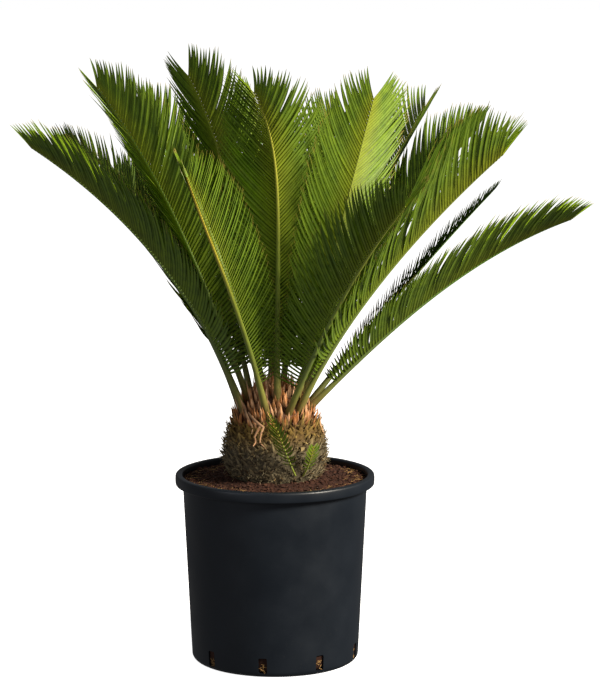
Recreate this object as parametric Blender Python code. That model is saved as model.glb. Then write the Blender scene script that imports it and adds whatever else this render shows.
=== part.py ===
"""A potted sago palm, about 0.93 m tall, standing in a plain black nursery pot.

Metres, +Z up. The origin is the middle of the pot's flat foot, -Y is the front.
The pot is filled with soil, the trunk stands in a plain hole in the soil, the crown
of bud scales sits on the trunk, and each frond stands in a socket of its own.
"""
import random
from collections import namedtuple
from math import cos, pi, radians, sin

import bmesh
import bpy
from mathutils import Vector
from mathutils.bvhtree import BVHTree

GAP = 0.0003

# Pot: a moulded 30 cm nursery pot with a rolled rim and drainage slots low in its wall.
POT_HEIGHT = 0.284
RIM_RADIUS = 0.150
RIM_HEIGHT = 0.016
RIM_ROUND = 0.003
RIM_STEP = 0.002
MOUTH_RADIUS = 0.1390
WALL_TOP_RADIUS = 0.1386
FOOT_RADIUS = 0.126
FOOT_ROUND = 0.009
WALL = 0.0024
FLOOR = 0.004
POT_SIDES = 48
SLOT_COUNT = 9
SLOT_PHASE = radians(-8.5)
SLOT_WIDTH = 0.013
SLOT_FOOT = 0.0065
SLOT_HEAD = 0.030
SLOT_REACH = (0.115, 0.136)

# Soil: fills the pot to a little under the rim, with a plain hole for the trunk.
SOIL_LEVEL = 0.2745
SOIL_UNEVEN = 0.0011
SOIL_RINGS = 5

# Trunk: a bulb covered with the stubs of old leaf bases, in a diamond pattern.
TRUNK_FOOT = 0.232
TRUNK_STEM_RADIUS = 0.068
TRUNK_COLLAR = 0.2775
TRUNK_TOP = 0.366
TRUNK_OUTLINE = ((0.2790, 0.0700), (0.292, 0.0750), (0.310, 0.0770), (0.330, 0.0755),
                 (0.350, 0.0700), (TRUNK_TOP, 0.0625))
STUB_COLUMNS = 28
STUB_ROWS = 13
STUB_REACH = (0.0035, 0.0085)
STUB_TIP = (0.45, 0.75)

# Crown: a low dome of long papery bud scales, between which the leaf stalks stand.
CROWN_OUTLINE = ((0.0620, TRUNK_TOP + GAP), (0.0590, 0.378), (0.0520, 0.390), (0.0420, 0.400),
                 (0.0280, 0.408), (0.0110, 0.412))
SCALE_COLUMNS = 22
SCALE_ROWS = 7
SCALE_LENGTH = (0.014, 0.036)
SCALE_SPREAD = 0.62
SCALE_HALF_WIDTH = 0.004
SCALE_STUMP = 0.002
SCALE_SHARES = (1.0, 0.75, 0.5, 0.3)

# Fronds: a ridged stalk with a comb of leaflets along each side.
RINGS = {"outer": (0.0545, 0.3860), "middle": (0.0420, 0.3990), "inner": (0.0260, 0.4085)}
SEAT_DEPTH = 0.013
BARE_PART = 0.12
BARE_STATIONS = 3
STALK_STEPS = 8
LEAFLET_PAIRS = 40
STALK_HALF_WIDTH = (0.0042, 0.0026, 0.0010)
BLADE_THICKNESS = 0.0007
CLEARANCE = 0.0005

Frond = namedtuple("Frond", "seat ring heading length lean_foot lean_tip bend swing leaflet left right")

# Angles in degrees. Seat and heading turn from the front towards the right (+X), a lean is
# measured from upright, bend is the power by which it grows, swing turns the tip sideways.
# Left and right are how far each comb of leaflets is raised, seen from outside.
FRONDS = (
    Frond(-14, "outer", -28, 0.461, 23.5, 47, 0.92, 15, 0.130, 40, 55),
    Frond(23, "outer", 36, 0.427, 32.5, 49.7, 1.42, 0.5, 0.128, 40, 35),
    Frond(5, "middle", 9, 0.480, 1, 32.5, 2.0, -65, 0.140, 22, 22),
    Frond(43, "outer", 67, 0.503, 22, 48.5, 0.6, 0, 0.130, 62, 15),
    Frond(-63, "outer", -79, 0.512, 19, 56.5, 0.96, 9, 0.120, 60, 60),
    Frond(81, "outer", 82, 0.486, 44.5, 69, 1.85, -11, 0.122, 50, 55),
    Frond(53.5, "middle", 75, 0.466, 13.5, 15.5, 0.945, -14, 0.135, 38, 40),
    Frond(-77, "middle", -72, 0.521, 20, 37.5, 2.1, -6, 0.126, 12, 60),
    Frond(-58.5, "inner", -70, 0.489, 6.8, 27.75, 2.44, -6, 0.135, 35, 35),
    Frond(130, "middle", 136, 0.510, 27, 44, 1.0, 0, 0.125, 45, 45),
    Frond(95, "middle", 110, 0.485, 25, 46, 1.0, 0, 0.125, 45, 45),
    Frond(108, "outer", 112, 0.440, 41, 48, 1.0, 0, 0.120, 45, 45),
    Frond(-118, "middle", -125, 0.475, 12, 40, 1.0, 0, 0.125, 45, 45),
    Frond(-98, "outer", -102, 0.470, 20, 52, 1.0, 0, 0.120, 45, 45),
    Frond(-170, "inner", -172, 0.450, 8, 36, 1.3, 0, 0.130, 45, 45),
    Frond(165, "middle", 150, 0.450, 14, 36, 1.0, 0, 0.130, 45, 45),
    Frond(138, "outer", 140, 0.470, 34, 62, 1.0, 0, 0.125, 45, 45),
    Frond(168, "outer", 172, 0.475, 30, 62, 1.0, 0, 0.125, 45, 45),
    Frond(-165, "outer", -162, 0.475, 32, 62, 1.0, 0, 0.125, 45, 45),
    Frond(-135, "outer", -142, 0.475, 34, 62, 1.0, 0, 0.125, 45, 45),
)

# Leaflets along a frond: share of the full length, and angle to the stalk in degrees.
LENGTH_ALONG = ((0.0, 0.12), (0.08, 0.32), (0.20, 0.66), (0.35, 0.90), (0.55, 1.0), (0.75, 0.90),
                (0.88, 0.70), (0.95, 0.52), (1.0, 0.36))
ANGLE_ALONG = ((0.0, 75), (0.06, 58), (0.20, 46), (0.35, 39), (0.55, 34), (0.80, 30), (1.0, 20))

# Leaflets stand raised in a V. One that would touch another frond swings round its stalk in
# steps of some degrees, and gets shorter only where no swing is enough.
RAISE_STEP = 6
RAISE_TRIES = 5
RAISE_RANGE = (-30, 70)
SHARES = (1.0, 0.85, 0.7, 0.55, 0.4, 0.25, 0.12)
OWN_CLEARANCE = 0.0001
OWN_SKIP = 0.12
OWN_REACH = 8

# Young fronds of a pup that breaks out of the front of the trunk.
PUP_SEAT_DEPTH = 0.009
PUP_PROUD = 0.002
PUP_STALK_HALF_WIDTH = (0.0014, 0.0012, 0.0006)
Pup = namedtuple("Pup", "seat height heading length lean_foot lean_tip bend swing leaflet pairs left right")
PUPS = (
    Pup(21, 0.300, -30, 0.104, 38, 22, 1.0, -40, 0.028, 14, -5, -5),
    Pup(36, 0.297, 30, 0.050, 42, 16, 1.0, 0, 0.018, 8, -5, -5),
)


def clear_scene():
    for item in list(bpy.data.objects):
        bpy.data.objects.remove(item, do_unlink=True)


def plain_material(name, colour, roughness):
    material = bpy.data.materials.new(name)
    material.use_nodes = True
    shader = material.node_tree.nodes["Principled BSDF"]
    shader.inputs["Base Color"].default_value = (*colour, 1.0)
    shader.inputs["Roughness"].default_value = roughness
    shader.inputs["Metallic"].default_value = 0.0
    material.diffuse_color = (*colour, 1.0)
    return material


def new_object(name, verts, faces, material, crease=None):
    mesh = bpy.data.meshes.new(name)
    mesh.from_pydata([tuple(v) for v in verts], [], faces)
    shape = bmesh.new()
    shape.from_mesh(mesh)
    bmesh.ops.recalc_face_normals(shape, faces=shape.faces)
    shape.to_mesh(mesh)
    shape.free()
    if crease is not None:
        mesh.shade_smooth()
        mesh.set_sharp_from_angle(angle=radians(crease))
    item = bpy.data.objects.new(name, mesh)
    if material is not None:
        mesh.materials.append(material)
    bpy.context.collection.objects.link(item)
    return item


def on_circle(radius, angle, height):
    """A point at an angle that turns from the front (-Y) towards the right (+X)."""
    return Vector((radius * sin(angle), -radius * cos(angle), height))


def read_outline(outline, key):
    """Straight-line reading of a list of (key, value) pairs."""
    for (k0, v0), (k1, v1) in zip(outline, outline[1:]):
        if key <= k1:
            return v0 + (v1 - v0) * (key - k0) / (k1 - k0)
    return outline[-1][1]


def turned(name, profile, sides, material, lift=None, crease=40):
    """Turn a (radius, height) profile that starts and ends on the axis."""
    verts = [Vector((0, 0, profile[0][1]))]
    for row, (radius, height) in enumerate(profile[1:-1]):
        for k in range(sides):
            extra = lift(row, k) if lift else 0.0
            verts.append(on_circle(radius, 2 * pi * k / sides, height + extra))
    verts.append(Vector((0, 0, profile[-1][1])))
    last = len(verts) - 1
    rows = len(profile) - 2
    faces = []
    for k in range(sides):
        after = (k + 1) % sides
        faces.append((0, 1 + after, 1 + k))
        for row in range(rows - 1):
            low = 1 + row * sides
            high = low + sides
            faces.append((low + k, low + after, high + after, high + k))
        top = 1 + (rows - 1) * sides
        faces.append((top + k, top + after, last))
    return new_object(name, verts, faces, material, crease)


def cut(item, cutter_name, verts, faces):
    """Take a cutter away from an object, for good."""
    cutter = new_object(cutter_name, verts, faces, None)
    cutter.hide_render = True
    cutter.display_type = "WIRE"
    boolean = item.modifiers.new("cut", "BOOLEAN")
    boolean.operation = "DIFFERENCE"
    boolean.solver = "EXACT"
    boolean.object = cutter
    bpy.context.view_layer.objects.active = item
    bpy.ops.object.modifier_apply(modifier=boolean.name)
    bpy.data.objects.remove(cutter, do_unlink=True)


def keep_largest_body(item):
    """Drop loose scraps that a cut has left beside the main body."""
    shape = bmesh.new()
    shape.from_mesh(item.data)
    waiting = set(shape.verts)
    bodies = []
    while waiting:
        body = set()
        front = [waiting.pop()]
        while front:
            vert = front.pop()
            body.add(vert)
            for edge in vert.link_edges:
                other = edge.other_vert(vert)
                if other in waiting:
                    waiting.remove(other)
                    front.append(other)
        bodies.append(body)
    bodies.sort(key=len, reverse=True)
    for body in bodies[1:]:
        bmesh.ops.delete(shape, geom=list(body), context="VERTS")
    shape.to_mesh(item.data)
    shape.free()


def pot_inside():
    """The inner outline of the pot from its mouth down to its floor, axis last."""
    ledge = POT_HEIGHT - RIM_HEIGHT
    return [(MOUTH_RADIUS, POT_HEIGHT - RIM_ROUND), (MOUTH_RADIUS, ledge + RIM_STEP),
            (WALL_TOP_RADIUS - WALL, ledge), (FOOT_RADIUS - WALL, FLOOR + FOOT_ROUND),
            (FOOT_RADIUS - FOOT_ROUND, FLOOR), (0.0, FLOOR)]


def make_pot():
    profile = [(0.0, 0.0), (FOOT_RADIUS - FOOT_ROUND, 0.0)]
    for angle in (30, 60, 90):
        profile.append((FOOT_RADIUS - FOOT_ROUND + FOOT_ROUND * sin(radians(angle)),
                        FOOT_ROUND - FOOT_ROUND * cos(radians(angle))))
    ledge = POT_HEIGHT - RIM_HEIGHT
    profile.append((WALL_TOP_RADIUS, ledge))
    profile.append((RIM_RADIUS - RIM_ROUND / 2, ledge))
    profile.append((RIM_RADIUS, ledge + RIM_ROUND / 2))
    profile.append((RIM_RADIUS, POT_HEIGHT - RIM_ROUND))
    profile.append((RIM_RADIUS - RIM_ROUND, POT_HEIGHT))
    profile.append((MOUTH_RADIUS + RIM_ROUND, POT_HEIGHT))
    profile.extend(pot_inside())
    black = plain_material("pot_black_plastic", (0.014, 0.017, 0.020), 0.42)
    pot = turned("pot", profile, POT_SIDES, black)
    verts = []
    faces = []
    box = ((0, 1, 2, 3), (4, 5, 6, 7), (0, 1, 5, 4), (1, 2, 6, 5), (2, 3, 7, 6), (3, 0, 4, 7))
    for slot in range(SLOT_COUNT):
        angle = SLOT_PHASE + 2 * pi * slot / SLOT_COUNT
        out = on_circle(1.0, angle, 0.0)
        side = on_circle(SLOT_WIDTH / 2, angle + pi / 2, 0.0)
        first = len(verts)
        for height in (SLOT_FOOT, SLOT_HEAD):
            up = Vector((0, 0, height))
            near = out * SLOT_REACH[0] + up
            far = out * SLOT_REACH[1] + up
            verts.extend((near - side, near + side, far + side, far - side))
        faces.extend(tuple(first + k for k in face) for face in box)
    cut(pot, "slot_cutter", verts, faces)
    return pot


def make_soil():
    rng = random.Random(7)
    hole = TRUNK_STEM_RADIUS + 2 * GAP
    profile = [(0.0, TRUNK_FOOT - GAP), (hole, TRUNK_FOOT - GAP), (hole, SOIL_LEVEL)]
    edge = MOUTH_RADIUS - GAP
    for ring in range(1, SOIL_RINGS + 1):
        radius = hole + (edge - hole) * ring / SOIL_RINGS
        profile.append((radius, SOIL_LEVEL))
    top_rows = range(1, 1 + SOIL_RINGS)
    inside = pot_inside()
    for radius, height in inside[1:5]:
        profile.append((radius - GAP, height + GAP))
    profile.append((0.0, FLOOR + GAP))

    def lift(row, _):
        return rng.uniform(-SOIL_UNEVEN, SOIL_UNEVEN) if row in top_rows else 0.0

    brown = plain_material("soil_brown", (0.045, 0.018, 0.010), 0.95)
    return turned("soil", profile, POT_SIDES, brown, lift, crease=None)


def lattice(rows, columns, place, tip):
    """Rows of points offset by half a step, with a pointed scale on every diamond.

    place(row, turn) gives a point on the plain surface, tip(row, turn) the scale's tip.
    Returns verts and faces, with the first and last row left open.
    """
    step = 2 * pi / columns
    verts = []
    for row in range(rows):
        for k in range(columns):
            verts.append(place(row, step * (k + 0.5 * (row % 2))))
    faces = []
    for row in range(rows):
        shift = row % 2
        for k in range(columns):
            here = row * columns
            left = here + (k - shift) % columns
            right = here + (k + 1 - shift) % columns
            low = here - columns + k
            high = here + columns + k
            if row == 0:
                faces.append((left, right, high))
            elif row == rows - 1:
                faces.append((left, low, right))
            else:
                verts.append(tip(row, step * (k + 0.5 * ((row + 1) % 2))))
                point = len(verts) - 1
                faces.extend(((low, right, point), (right, high, point),
                              (high, left, point), (left, low, point)))
    return verts, faces


def make_trunk():
    rng = random.Random(21)
    heights = [TRUNK_OUTLINE[0][0] + (TRUNK_TOP - TRUNK_OUTLINE[0][0]) * k / (STUB_ROWS - 1)
               for k in range(STUB_ROWS)]
    spacing = heights[1] - heights[0]

    def place(row, turn):
        return on_circle(read_outline(TRUNK_OUTLINE, heights[row]), turn, heights[row])

    def tip(row, turn):
        height = heights[row] + spacing * rng.uniform(*STUB_TIP)
        reach = rng.uniform(*STUB_REACH)
        return on_circle(read_outline(TRUNK_OUTLINE, heights[row]) + reach, turn, height)

    verts, faces = lattice(STUB_ROWS, STUB_COLUMNS, place, tip)
    columns = STUB_COLUMNS
    first_row = list(range(columns))
    last_row = [(STUB_ROWS - 1) * columns + k for k in range(columns)]
    step = 2 * pi / columns
    stem = []
    for height in (TRUNK_COLLAR, TRUNK_FOOT):
        stem.append(list(range(len(verts), len(verts) + columns)))
        verts.extend(on_circle(TRUNK_STEM_RADIUS, step * k, height) for k in range(columns))
    for upper, lower in ((first_row, stem[0]), (stem[0], stem[1])):
        for k in range(columns):
            after = (k + 1) % columns
            faces.append((upper[k], upper[after], lower[after], lower[k]))
    faces.append(tuple(stem[1]))
    faces.append(tuple(last_row))
    bark = plain_material("trunk_leaf_bases", (0.11, 0.075, 0.040), 0.9)
    return new_object("trunk", verts, faces, bark)


def stalk_section(width, extra=0.0):
    """Corners of the three-sided stalk: the ridge on its inner side, then its two edges."""
    size = width + extra * 2
    return (0.0, 1.05 * size), (-size, -0.75 * size), (size, -0.75 * size)


def curve_value(values, position):
    """Read three values laid out at the foot, where the leaflets start, and the tip."""
    foot, start, end = values
    if position < BARE_PART:
        return foot + (start - foot) * max(position, 0.0) / BARE_PART
    return start + (end - start) * (position - BARE_PART) / (1 - BARE_PART)


class Rib:
    """The stalk of a frond as a row of stations, each with its own axes."""

    def __init__(self, foot, heading, length, lean_foot, lean_tip, bend, swing, pairs, widths, depth):
        self.length = length
        self.pairs = pairs
        self.stations = []
        positions = [-depth / length]
        positions.extend(BARE_PART * k / BARE_STATIONS for k in range(BARE_STATIONS))
        self.first_leaflet = len(positions)
        positions.extend(BARE_PART + (1 - BARE_PART) * k / pairs for k in range(pairs + 1))
        point = Vector(foot)
        before = 0.0
        for position in positions:
            span = position - before
            for k in range(STALK_STEPS):
                middle = before + span * (k + 0.5) / STALK_STEPS
                tangent, _, _ = self.axes(middle, heading, lean_foot, lean_tip, bend, swing)
                point = point + tangent * (length * span / STALK_STEPS)
            if position >= 0:
                before = position
            tangent, inner, side = self.axes(position, heading, lean_foot, lean_tip, bend, swing)
            self.stations.append((position, point.copy(), tangent, inner, side,
                                  curve_value(widths, position)))
            if position < 0:
                point = Vector(foot)

    @staticmethod
    def axes(position, heading, lean_foot, lean_tip, bend, swing):
        s = max(position, 0.0)
        lean = radians(lean_foot + (lean_tip - lean_foot) * s ** bend)
        turn = radians(heading + swing * s ** 3)
        tangent = Vector((sin(lean) * sin(turn), -sin(lean) * cos(turn), cos(lean)))
        inner = Vector((-cos(lean) * sin(turn), cos(lean) * cos(turn), sin(lean)))
        return tangent, inner, tangent.cross(inner)

    def section(self, index, extra=0.0):
        _, point, _, inner, side, width = self.stations[index]
        return [point + side * x + inner * y for x, y in stalk_section(width, extra)]

    def tube(self, first, last, extra=0.0):
        """A closed tube over the stations first to last."""
        verts = []
        for index in range(first, last + 1):
            verts.extend(self.section(index, extra))
        faces = [(0, 1, 2), tuple(len(verts) - k for k in (1, 2, 3))]
        for row in range(last - first):
            low = 3 * row
            for k in range(3):
                after = (k + 1) % 3
                faces.append((low + k, low + after, low + 3 + after, low + 3 + k))
        return verts, faces


def leaflet_blade(rib, pair, side_sign, longest, raised, share):
    """The root's four corners, the two tip points, and the blade's own directions."""
    low = rib.first_leaflet + pair
    edge = 2 if side_sign > 0 else 1
    corners_low = rib.section(low)
    corners_high = rib.section(low + 1)
    root = (corners_low[edge], corners_high[edge], corners_high[0], corners_low[0])
    along = (pair + 0.5) / rib.pairs
    _, _, tangent, inner, side, _ = rib.stations[low]
    opening = radians(read_outline(ANGLE_ALONG, along))
    raised = radians(raised)
    heading = (tangent * cos(opening)
               + (side * side_sign * cos(raised) + inner * sin(raised)) * sin(opening))
    across = root[0] + root[1] - root[2] - root[3]
    across = (across - heading * across.dot(heading)).normalized()
    length = longest * read_outline(LENGTH_ALONG, along) * share
    end = sum(root, Vector()) / 4 + heading * length
    half = BLADE_THICKNESS / 2
    return root, (end + across * half, end - across * half), heading, across


def blade_body(root, tip, heading, across, swell, skip):
    """A closed box round a blade, grown by swell, without the first share of its length."""
    wide = (root[1] - root[0]).normalized() * swell
    thick = across * swell
    end = (tip[0] + tip[1]) / 2
    foot = [corner + (end - corner) * skip for corner in root]
    beyond = heading * swell
    return (foot[0] - wide + thick, foot[1] + wide + thick, foot[2] + wide - thick, foot[3] - wide - thick,
            tip[0] - wide + thick + beyond, tip[0] + wide + thick + beyond,
            tip[1] + wide - thick + beyond, tip[1] - wide - thick + beyond)


BODY_FACES = ((0, 1, 2), (0, 2, 3), (4, 6, 5), (4, 7, 6), (0, 4, 5), (0, 5, 1),
              (1, 5, 6), (1, 6, 2), (2, 6, 7), (2, 7, 3), (3, 7, 4), (3, 4, 0))


def triangles(faces, offset=0):
    """Split faces into triangles whose numbers start at an offset."""
    result = []
    for face in faces:
        for k in range(1, len(face) - 1):
            result.append((face[0] + offset, face[k] + offset, face[k + 1] + offset))
    return result


class Crowd:
    """Everything that stands already, for testing what comes next."""

    def __init__(self):
        self.parts = []
        self.tree = None

    def add(self, owner, verts, faces):
        self.parts.append((owner, [Vector(v) for v in verts], faces))

    def look(self, owner):
        """Build the test tree without what belongs to the owner itself."""
        verts = []
        faces = []
        for name, part_verts, part_faces in self.parts:
            if name != owner:
                faces.extend(triangles(part_faces, len(verts)))
                verts.extend(part_verts)
        self.tree = BVHTree.FromPolygons(verts, faces)

    def hits(self, body, faces=BODY_FACES):
        return bool(self.tree.overlap(BVHTree.FromPolygons(body, faces)))


def settle(crowd, own, rib, pair, side_sign, longest, before):
    """The raise nearest to the leaflet before, and the length, at which nothing is touched."""
    tries = [before]
    for k in range(1, RAISE_TRIES + 1):
        tries.extend((before + k * RAISE_STEP, before - k * RAISE_STEP))
    tries = [value for value in tries if RAISE_RANGE[0] <= value <= RAISE_RANGE[1]]
    near = [tree for (sign, number), tree in own.items()
            if abs(number - pair) <= OWN_REACH and (sign, number) != (side_sign, pair - 1)]
    ahead = rib.first_leaflet + pair + 2
    if ahead < len(rib.stations) - 1:
        tube, tube_faces = rib.tube(ahead, min(ahead + OWN_REACH, len(rib.stations) - 1))
        near.append(BVHTree.FromPolygons(tube, triangles(tube_faces)))
    for share in SHARES:
        for raised in tries:
            blade = leaflet_blade(rib, pair, side_sign, longest, raised, share)
            if crowd.hits(blade_body(*blade, CLEARANCE, 0.0)):
                continue
            free_part = BVHTree.FromPolygons(blade_body(*blade, OWN_CLEARANCE, OWN_SKIP), BODY_FACES)
            if not any(free_part.overlap(tree) for tree in near):
                own[side_sign, pair] = free_part
                return blade[1], raised
    return blade[1], raised


def make_frond(name, rib, plan, crowd, material):
    crowd.look(name)
    verts = []
    for index in range(len(rib.stations)):
        verts.extend(rib.section(index))
    last = len(rib.stations) - 1
    faces = [(0, 1, 2), (3 * last, 3 * last + 2, 3 * last + 1)]
    for index in range(last):
        low = 3 * index
        high = low + 3
        faces.append((low + 1, low + 2, high + 2, high + 1))
        if index < rib.first_leaflet:
            faces.append((low, low + 1, high + 1, high))
            faces.append((low + 2, low, high, high + 2))
    own = {}
    for side_sign, edge, natural_raise in ((-1, 1, plan.right), (1, 2, plan.left)):
        before = natural_raise
        for pair in range(rib.pairs):
            before += max(-RAISE_STEP / 2, min(RAISE_STEP / 2, natural_raise - before))
            tip, before = settle(crowd, own, rib, pair, side_sign, plan.leaflet, before)
            low = 3 * (rib.first_leaflet + pair)
            high = low + 3
            upper = len(verts)
            lower = upper + 1
            verts.extend(tip)
            faces.append((low + edge, high + edge, upper))
            faces.append((high, low, lower))
            faces.append((low, low + edge, upper))
            faces.append((low, upper, lower))
            faces.append((high + edge, high, lower))
            faces.append((high + edge, lower, upper))
    crowd.add(name, verts, faces)
    return new_object(name, verts, faces, material)


def cut_sockets(item, ribs):
    """Cut the holes that the stalks stand in."""
    verts = []
    faces = []
    for rib in ribs:
        tube, tube_faces = rib.tube(0, rib.first_leaflet, GAP)
        back = rib.stations[0][2] * GAP
        for k in range(3):
            tube[k] = tube[k] - back
        faces.extend(tuple(k + len(verts) for k in face) for face in tube_faces)
        verts.extend(tube)
    cut(item, "socket_cutter", verts, faces)
    keep_largest_body(item)


def object_shape(item):
    verts = [vert.co.copy() for vert in item.data.vertices]
    return verts, [tuple(face.vertices) for face in item.data.polygons]


def make_crown(ribs, crowd):
    rng = random.Random(5)
    crowd.look("crown")
    lengths = [0.0]
    for (r0, z0), (r1, z1) in zip(CROWN_OUTLINE, CROWN_OUTLINE[1:]):
        lengths.append(lengths[-1] + ((r1 - r0) ** 2 + (z1 - z0) ** 2) ** 0.5)
    radius_along = tuple(zip(lengths, (r for r, _ in CROWN_OUTLINE)))
    height_along = tuple(zip(lengths, (z for _, z in CROWN_OUTLINE)))
    total = lengths[-1]

    def place(row, turn):
        along = total * row / (SCALE_ROWS - 1)
        return on_circle(read_outline(radius_along, along), turn, read_outline(height_along, along))

    def tip(row, turn):
        foot = place(row, turn)
        spread = SCALE_SPREAD * (1 - row / SCALE_ROWS)
        aim = (on_circle(spread, turn, 0.0) + Vector((0, 0, 1))).normalized()
        length = rng.uniform(*SCALE_LENGTH)
        left = on_circle(SCALE_HALF_WIDTH, turn + pi / 2, 0.0)
        up = Vector((0, 0, SCALE_HALF_WIDTH))
        for share in SCALE_SHARES:
            end = foot + aim * length * share
            body = (foot - left - up, foot + left - up, foot + left + up, foot - left + up,
                    end - left / 8, end + left / 8, end + left / 8 + up / 8, end - left / 8 + up / 8)
            if not crowd.hits(body):
                return end
        return foot + aim * SCALE_STUMP

    verts, faces = lattice(SCALE_ROWS, SCALE_COLUMNS, place, tip)
    faces.append(tuple(range(SCALE_COLUMNS)))
    faces.append(tuple((SCALE_ROWS - 1) * SCALE_COLUMNS + k for k in range(SCALE_COLUMNS)))
    tan = plain_material("crown_bud_scales", (0.42, 0.17, 0.075), 0.8)
    crown = new_object("crown", verts, faces, tan)
    cut_sockets(crown, ribs)
    return crown


def frond_ribs():
    ribs = []
    for frond in FRONDS:
        radius, height = RINGS[frond.ring]
        foot = on_circle(radius, radians(frond.seat), height)
        ribs.append(Rib(foot, frond.heading, frond.length, frond.lean_foot, frond.lean_tip, frond.bend,
                        frond.swing, LEAFLET_PAIRS, STALK_HALF_WIDTH, SEAT_DEPTH))
    return ribs


def pup_ribs():
    ribs = []
    for pup in PUPS:
        radius = read_outline(TRUNK_OUTLINE, pup.height) + PUP_PROUD
        foot = on_circle(radius, radians(pup.seat), pup.height)
        ribs.append(Rib(foot, pup.heading, pup.length, pup.lean_foot, pup.lean_tip, pup.bend,
                        pup.swing, pup.pairs, PUP_STALK_HALF_WIDTH, PUP_SEAT_DEPTH))
    return ribs


def make_plant():
    green = plain_material("frond_green", (0.10, 0.21, 0.030), 0.45)
    crowd = Crowd()
    fronds = frond_ribs()
    pups = pup_ribs()
    for kind, ribs in (("frond", fronds), ("pup_frond", pups)):
        for number, rib in enumerate(ribs, 1):
            crowd.add(f"{kind}_{number:02d}", *rib.tube(0, len(rib.stations) - 1, CLEARANCE))
    trunk = make_trunk()
    cut_sockets(trunk, pups)
    crown = make_crown(fronds, crowd)
    crowd.add("trunk", *object_shape(trunk))
    crowd.add("crown", *object_shape(crown))
    for number, (frond, rib) in enumerate(zip(FRONDS, fronds), 1):
        make_frond(f"frond_{number:02d}", rib, frond, crowd, green)
    for number, (pup, rib) in enumerate(zip(PUPS, pups), 1):
        make_frond(f"pup_frond_{number:02d}", rib, pup, crowd, green)


clear_scene()
make_pot()
make_soil()
make_plant()
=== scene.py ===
"""A potted sago palm: nursery pot, soil, trunk, bud scales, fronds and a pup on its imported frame."""
import random
from collections import namedtuple
from math import cos, pi, radians, sin

import bmesh
import bpy
import numpy as np
from mathutils import Matrix, Vector, noise
from mathutils.bvhtree import BVHTree


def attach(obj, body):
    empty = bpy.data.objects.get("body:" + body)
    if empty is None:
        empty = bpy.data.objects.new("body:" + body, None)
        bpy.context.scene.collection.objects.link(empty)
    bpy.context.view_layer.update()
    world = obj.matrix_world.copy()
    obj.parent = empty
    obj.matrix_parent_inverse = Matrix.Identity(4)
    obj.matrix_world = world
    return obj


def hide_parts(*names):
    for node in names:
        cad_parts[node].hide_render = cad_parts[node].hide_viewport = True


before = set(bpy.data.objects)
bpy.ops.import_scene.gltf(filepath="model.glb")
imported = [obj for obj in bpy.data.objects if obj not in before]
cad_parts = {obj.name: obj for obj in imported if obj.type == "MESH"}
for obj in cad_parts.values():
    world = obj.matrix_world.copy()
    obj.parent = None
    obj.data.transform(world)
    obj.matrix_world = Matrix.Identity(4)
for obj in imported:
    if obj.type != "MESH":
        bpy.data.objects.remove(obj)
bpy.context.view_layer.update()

# The studio: a camera 4 m in front of the pot and a little above the highest frond, one large
# soft lamp at the right front, weak lamps above and at the left, and white seamless paper
# under and behind the plant.
CAMERA_PLACE = (0.0, -4.0, 1.105)
CAMERA_PITCH = 9.01
CAMERA_YAW = -0.54
CAMERA_LENS = 139.4
LAMP_TARGET = Vector((0.0, 0.0, 0.45))
LAMPS = (
    ("key", (2.8, -1.7, 2.3), 1.0, 275, "#fff6e6"),
    ("top", (0.2, 0.4, 3.2), 1.6, 34, "#ffffff"),
    ("left_fill", (-2.6, -2.4, 1.3), 1.6, 16, "#f4f6ff"),
)
ROOM_LIGHT = 0.12
PAPER_SIDE = 60.0


def linear(hex_colour):
    """A colour written as sRGB hex, turned into linear RGBA."""
    parts = [int(hex_colour[k:k + 2], 16) / 255 for k in (1, 3, 5)]
    parts = [c / 12.92 if c <= 0.04045 else ((c + 0.055) / 1.055) ** 2.4 for c in parts]
    return (*parts, 1.0)


def add_node(tree, kind, settings=None, links=None):
    """Add a node, give it its settings, and link sockets into it."""
    node = tree.nodes.new(kind)
    for name, value in (settings or {}).items():
        if hasattr(node, name):
            setattr(node, name, value)
        else:
            node.inputs[name].default_value = value
    for name, socket in (links or {}).items():
        tree.links.new(socket, node.inputs[name])
    return node


def start_material(name, roughness, ior):
    material = bpy.data.materials.new(name)
    material.use_nodes = True
    shader = material.node_tree.nodes["Principled BSDF"]
    shader.inputs["Roughness"].default_value = roughness
    shader.inputs["IOR"].default_value = ior
    return material, material.node_tree, shader


def set_studio():
    scene = bpy.context.scene
    scene.view_settings.view_transform = "Standard"
    camera = bpy.data.objects.new("camera", bpy.data.cameras.new("camera"))
    camera.location = CAMERA_PLACE
    camera.rotation_euler = (radians(90 - CAMERA_PITCH), 0, radians(CAMERA_YAW))
    camera.data.sensor_width = 36
    camera.data.lens = CAMERA_LENS
    scene.collection.objects.link(camera)
    scene.camera = camera
    for name, place, size, power, tint in LAMPS:
        lamp = bpy.data.lights.new(name, "AREA")
        lamp.size = size
        lamp.energy = power
        lamp.color = linear(tint)[:3]
        holder = bpy.data.objects.new(name, lamp)
        holder.location = place
        holder.rotation_euler = (LAMP_TARGET - Vector(place)).to_track_quat("-Z", "Y").to_euler()
        scene.collection.objects.link(holder)
    world = bpy.data.worlds.new("studio")
    world.use_nodes = True
    tree = world.node_tree
    ray = add_node(tree, "ShaderNodeLightPath")
    strength = add_node(tree, "ShaderNodeMapRange", {"To Min": ROOM_LIGHT, "To Max": 1.0},
                        {"Value": ray.outputs["Is Camera Ray"]})
    tree.nodes["Background"].inputs["Color"].default_value = linear("#ffffff")
    tree.links.new(strength.outputs["Result"], tree.nodes["Background"].inputs["Strength"])
    scene.world = world


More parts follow.
